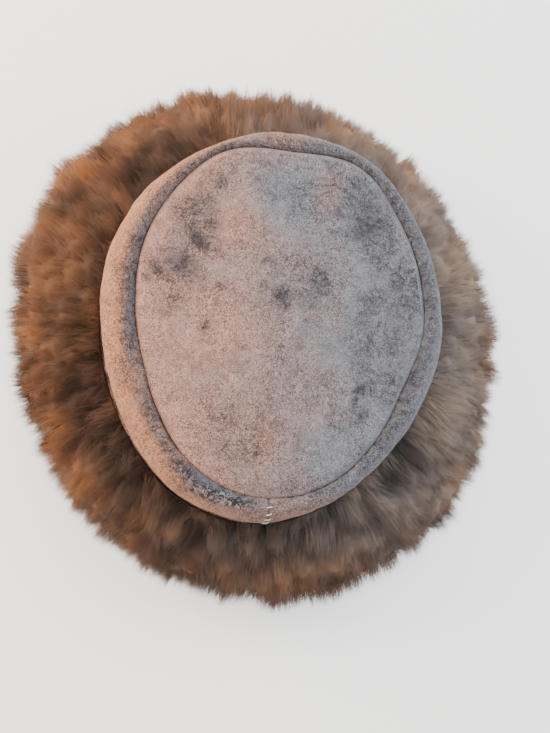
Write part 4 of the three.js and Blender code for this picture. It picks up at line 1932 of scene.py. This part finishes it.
    def _ribbons(self, rng: np.random.Generator, name: str, strands: Strands) -> Piece:
        """One piece of tapered ribbons.

        Args:
            rng: the source of each ribbon's twist.
            name: the piece's name.
            strands: its strands.

        Returns:
            The object.
        """
        spine = strands.line
        count = len(spine)
        steps = self.segments
        tangent = unit(np.gradient(spine, axis=1))
        across = unit(np.cross(tangent, strands.normal[:, None, :]))
        twist = rng.uniform(-self.twist, self.twist, count)[:, None, None]
        across = across * np.cos(twist) + np.cross(across, tangent) * np.sin(twist)
        taper = np.interp(np.arange(steps + 1) / steps, (0.0, 0.4, 1.0), (0.9, 1.0, 0.0))[None, :, None]
        half = across * taper * self.width * rng.uniform(*self.widths, count)[:, None, None] / 2.0
        sides = np.stack([spine - half, spine + half], axis=2)[:, :steps].reshape(count, 2 * steps, 3)
        points = np.concatenate([sides, spine[:, steps:]], axis=1).reshape(-1, 3)
        each = 2 * steps + 1
        quads = [np.array([0, 1, 3, 2]) + 2 * row for row in range(steps - 1)]
        pattern = np.concatenate([*quads, np.arange(2 * steps - 2, each)])
        corners = (np.arange(count)[:, None] * each + pattern[None, :]).ravel()
        made = MeshMaker.write(name, points, corners, np.tile([4] * (steps - 1) + [3], count))
        self._map(made, pattern, strands)
        made.data.normals_split_custom_set_from_vertices(np.repeat(strands.normal, each, axis=0).tolist())
        return made

    def _map(self, made: Piece, pattern: Array, strands: Strands) -> None:
        """Stores each strand's tint and its tone along it, as a map.

        Args:
            made: the piece.
            pattern: the corners of one ribbon.
            strands: its strands.
        """
        edge = np.where(pattern == 2 * self.segments, 0.0, np.where(pattern % 2 == 0, -0.006, 0.006))
        fall = self.fall * (1.0 - pattern // 2 / self.segments)
        u = np.clip(strands.tint[:, None] + edge, 0.0, 1.0)
        v = np.clip(strands.tone[:, None] - fall, 0.0, 1.0)
        layer = made.data.uv_layers.new(name="OFBake")
        layer.uv.foreach_set("vector", np.stack([u, v], axis=-1).astype(np.float32).ravel())

    def dress(self, made: list[Piece]) -> None:
        """Gives the strands their wool."""
        material = Wool("long_wool").material()
        for piece in made:
            dress(piece, material, "fleece_cuff")


class Lamp(NamedTuple):
    """A soft square light that faces the crown, in metres."""

    name: str
    place: tuple[float, float, float]
    size: float
    power: float
    colour: Colour


@dataclass
class Studio:
    """The pale floor, the soft lights and the camera, whose lengths are in metres."""

    floor_half: float = 4.0
    camera_place: tuple[float, float, float] = (-0.07683, -0.11576, 0.59328)
    camera_right: tuple[float, float, float] = (0.97945, 0.10229, 0.17380)
    camera_up: tuple[float, float, float] = (-0.12956, 0.97961, 0.15356)
    lens: float = 43.47
    world: Colour = (1.0, 0.99, 0.98)
    world_power: float = 0.6
    lamps: tuple[Lamp, ...] = (
        Lamp("key_left", (-1.15, 0.25, 0.62), 0.7, 30.0, (1.0, 0.78, 0.58)),
        Lamp("fill_right", (1.2, 0.5, 0.7), 1.0, 14.0, (0.80, 0.90, 1.0)),
        Lamp("top", (0.1, 0.7, 1.4), 1.0, 18.0, (1.0, 0.98, 0.97)),
    )

    def build(self) -> None:
        """Builds the stage."""
        self._floor()
        for lamp in self.lamps:
            self._lamp(lamp)
        self._world()
        self._camera()

    def _floor(self) -> None:
        """Lays the floor."""
        half = self.floor_half / MM
        corners = np.array([[-half, -half, 0.0], [half, -half, 0.0], [half, half, 0.0], [-half, half, 0.0]])
        floor = MeshMaker.write("studio_floor", corners, np.arange(4), np.array([4]))
        floor.data.materials.append(Floor("studio_floor").material())

    @staticmethod
    def _lamp(lamp: Lamp) -> None:
        """Hangs one lamp."""
        data = bpy.data.lights.new(lamp.name, "AREA")
        data.shape = "SQUARE"
        data.size = lamp.size
        data.energy = lamp.power
        data.color = lamp.colour
        hung = bpy.data.objects.new(lamp.name, data)
        hung.location = lamp.place
        aim = Vector((0.0, 0.0, 0.06)) - Vector(lamp.place)
        hung.rotation_euler = aim.to_track_quat("-Z", "Y").to_euler()
        bpy.context.scene.collection.objects.link(hung)

    def _world(self) -> None:
        """Lights the surroundings."""
        world = bpy.data.worlds.new("studio")
        world.use_nodes = True
        shade = world.node_tree.nodes["Background"]
        shade.inputs["Color"].default_value = (*self.world, 1.0)
        shade.inputs["Strength"].default_value = self.world_power
        bpy.context.scene.world = world

    def _camera(self) -> None:
        """Sets the camera at the photograph's angle."""
        data = bpy.data.cameras.new("camera")
        data.sensor_fit = "AUTO"
        data.sensor_width = 36.0
        data.lens = self.lens
        data.clip_start = 0.01
        camera = bpy.data.objects.new("camera", data)
        right = Vector(self.camera_right).normalized()
        back = right.cross(Vector(self.camera_up)).normalized()
        up = back.cross(right)
        turn = Matrix((right, up, back)).transposed().to_4x4()
        camera.matrix_world = Matrix.Translation(self.camera_place) @ turn
        bpy.context.scene.collection.objects.link(camera)
        bpy.context.scene.camera = camera


def main() -> None:
    """Builds and dresses every piece of the hat."""
    logging.basicConfig(level=logging.INFO, format="%(name)s %(message)s")
    form = HatForm()
    Studio().build()
    coat = Coat(form)
    skins = (CrownTip(form), SideBand(form), BackStitches(form), CuffSkin(form))
    for part in (*skins, MattedWool(form, coat), LongWool(form, coat)):
        made = part.build()
        part.dress(made)
        LOG.info("%s is dressed", type(part).__name__)


if __name__ == "__main__":
    main()
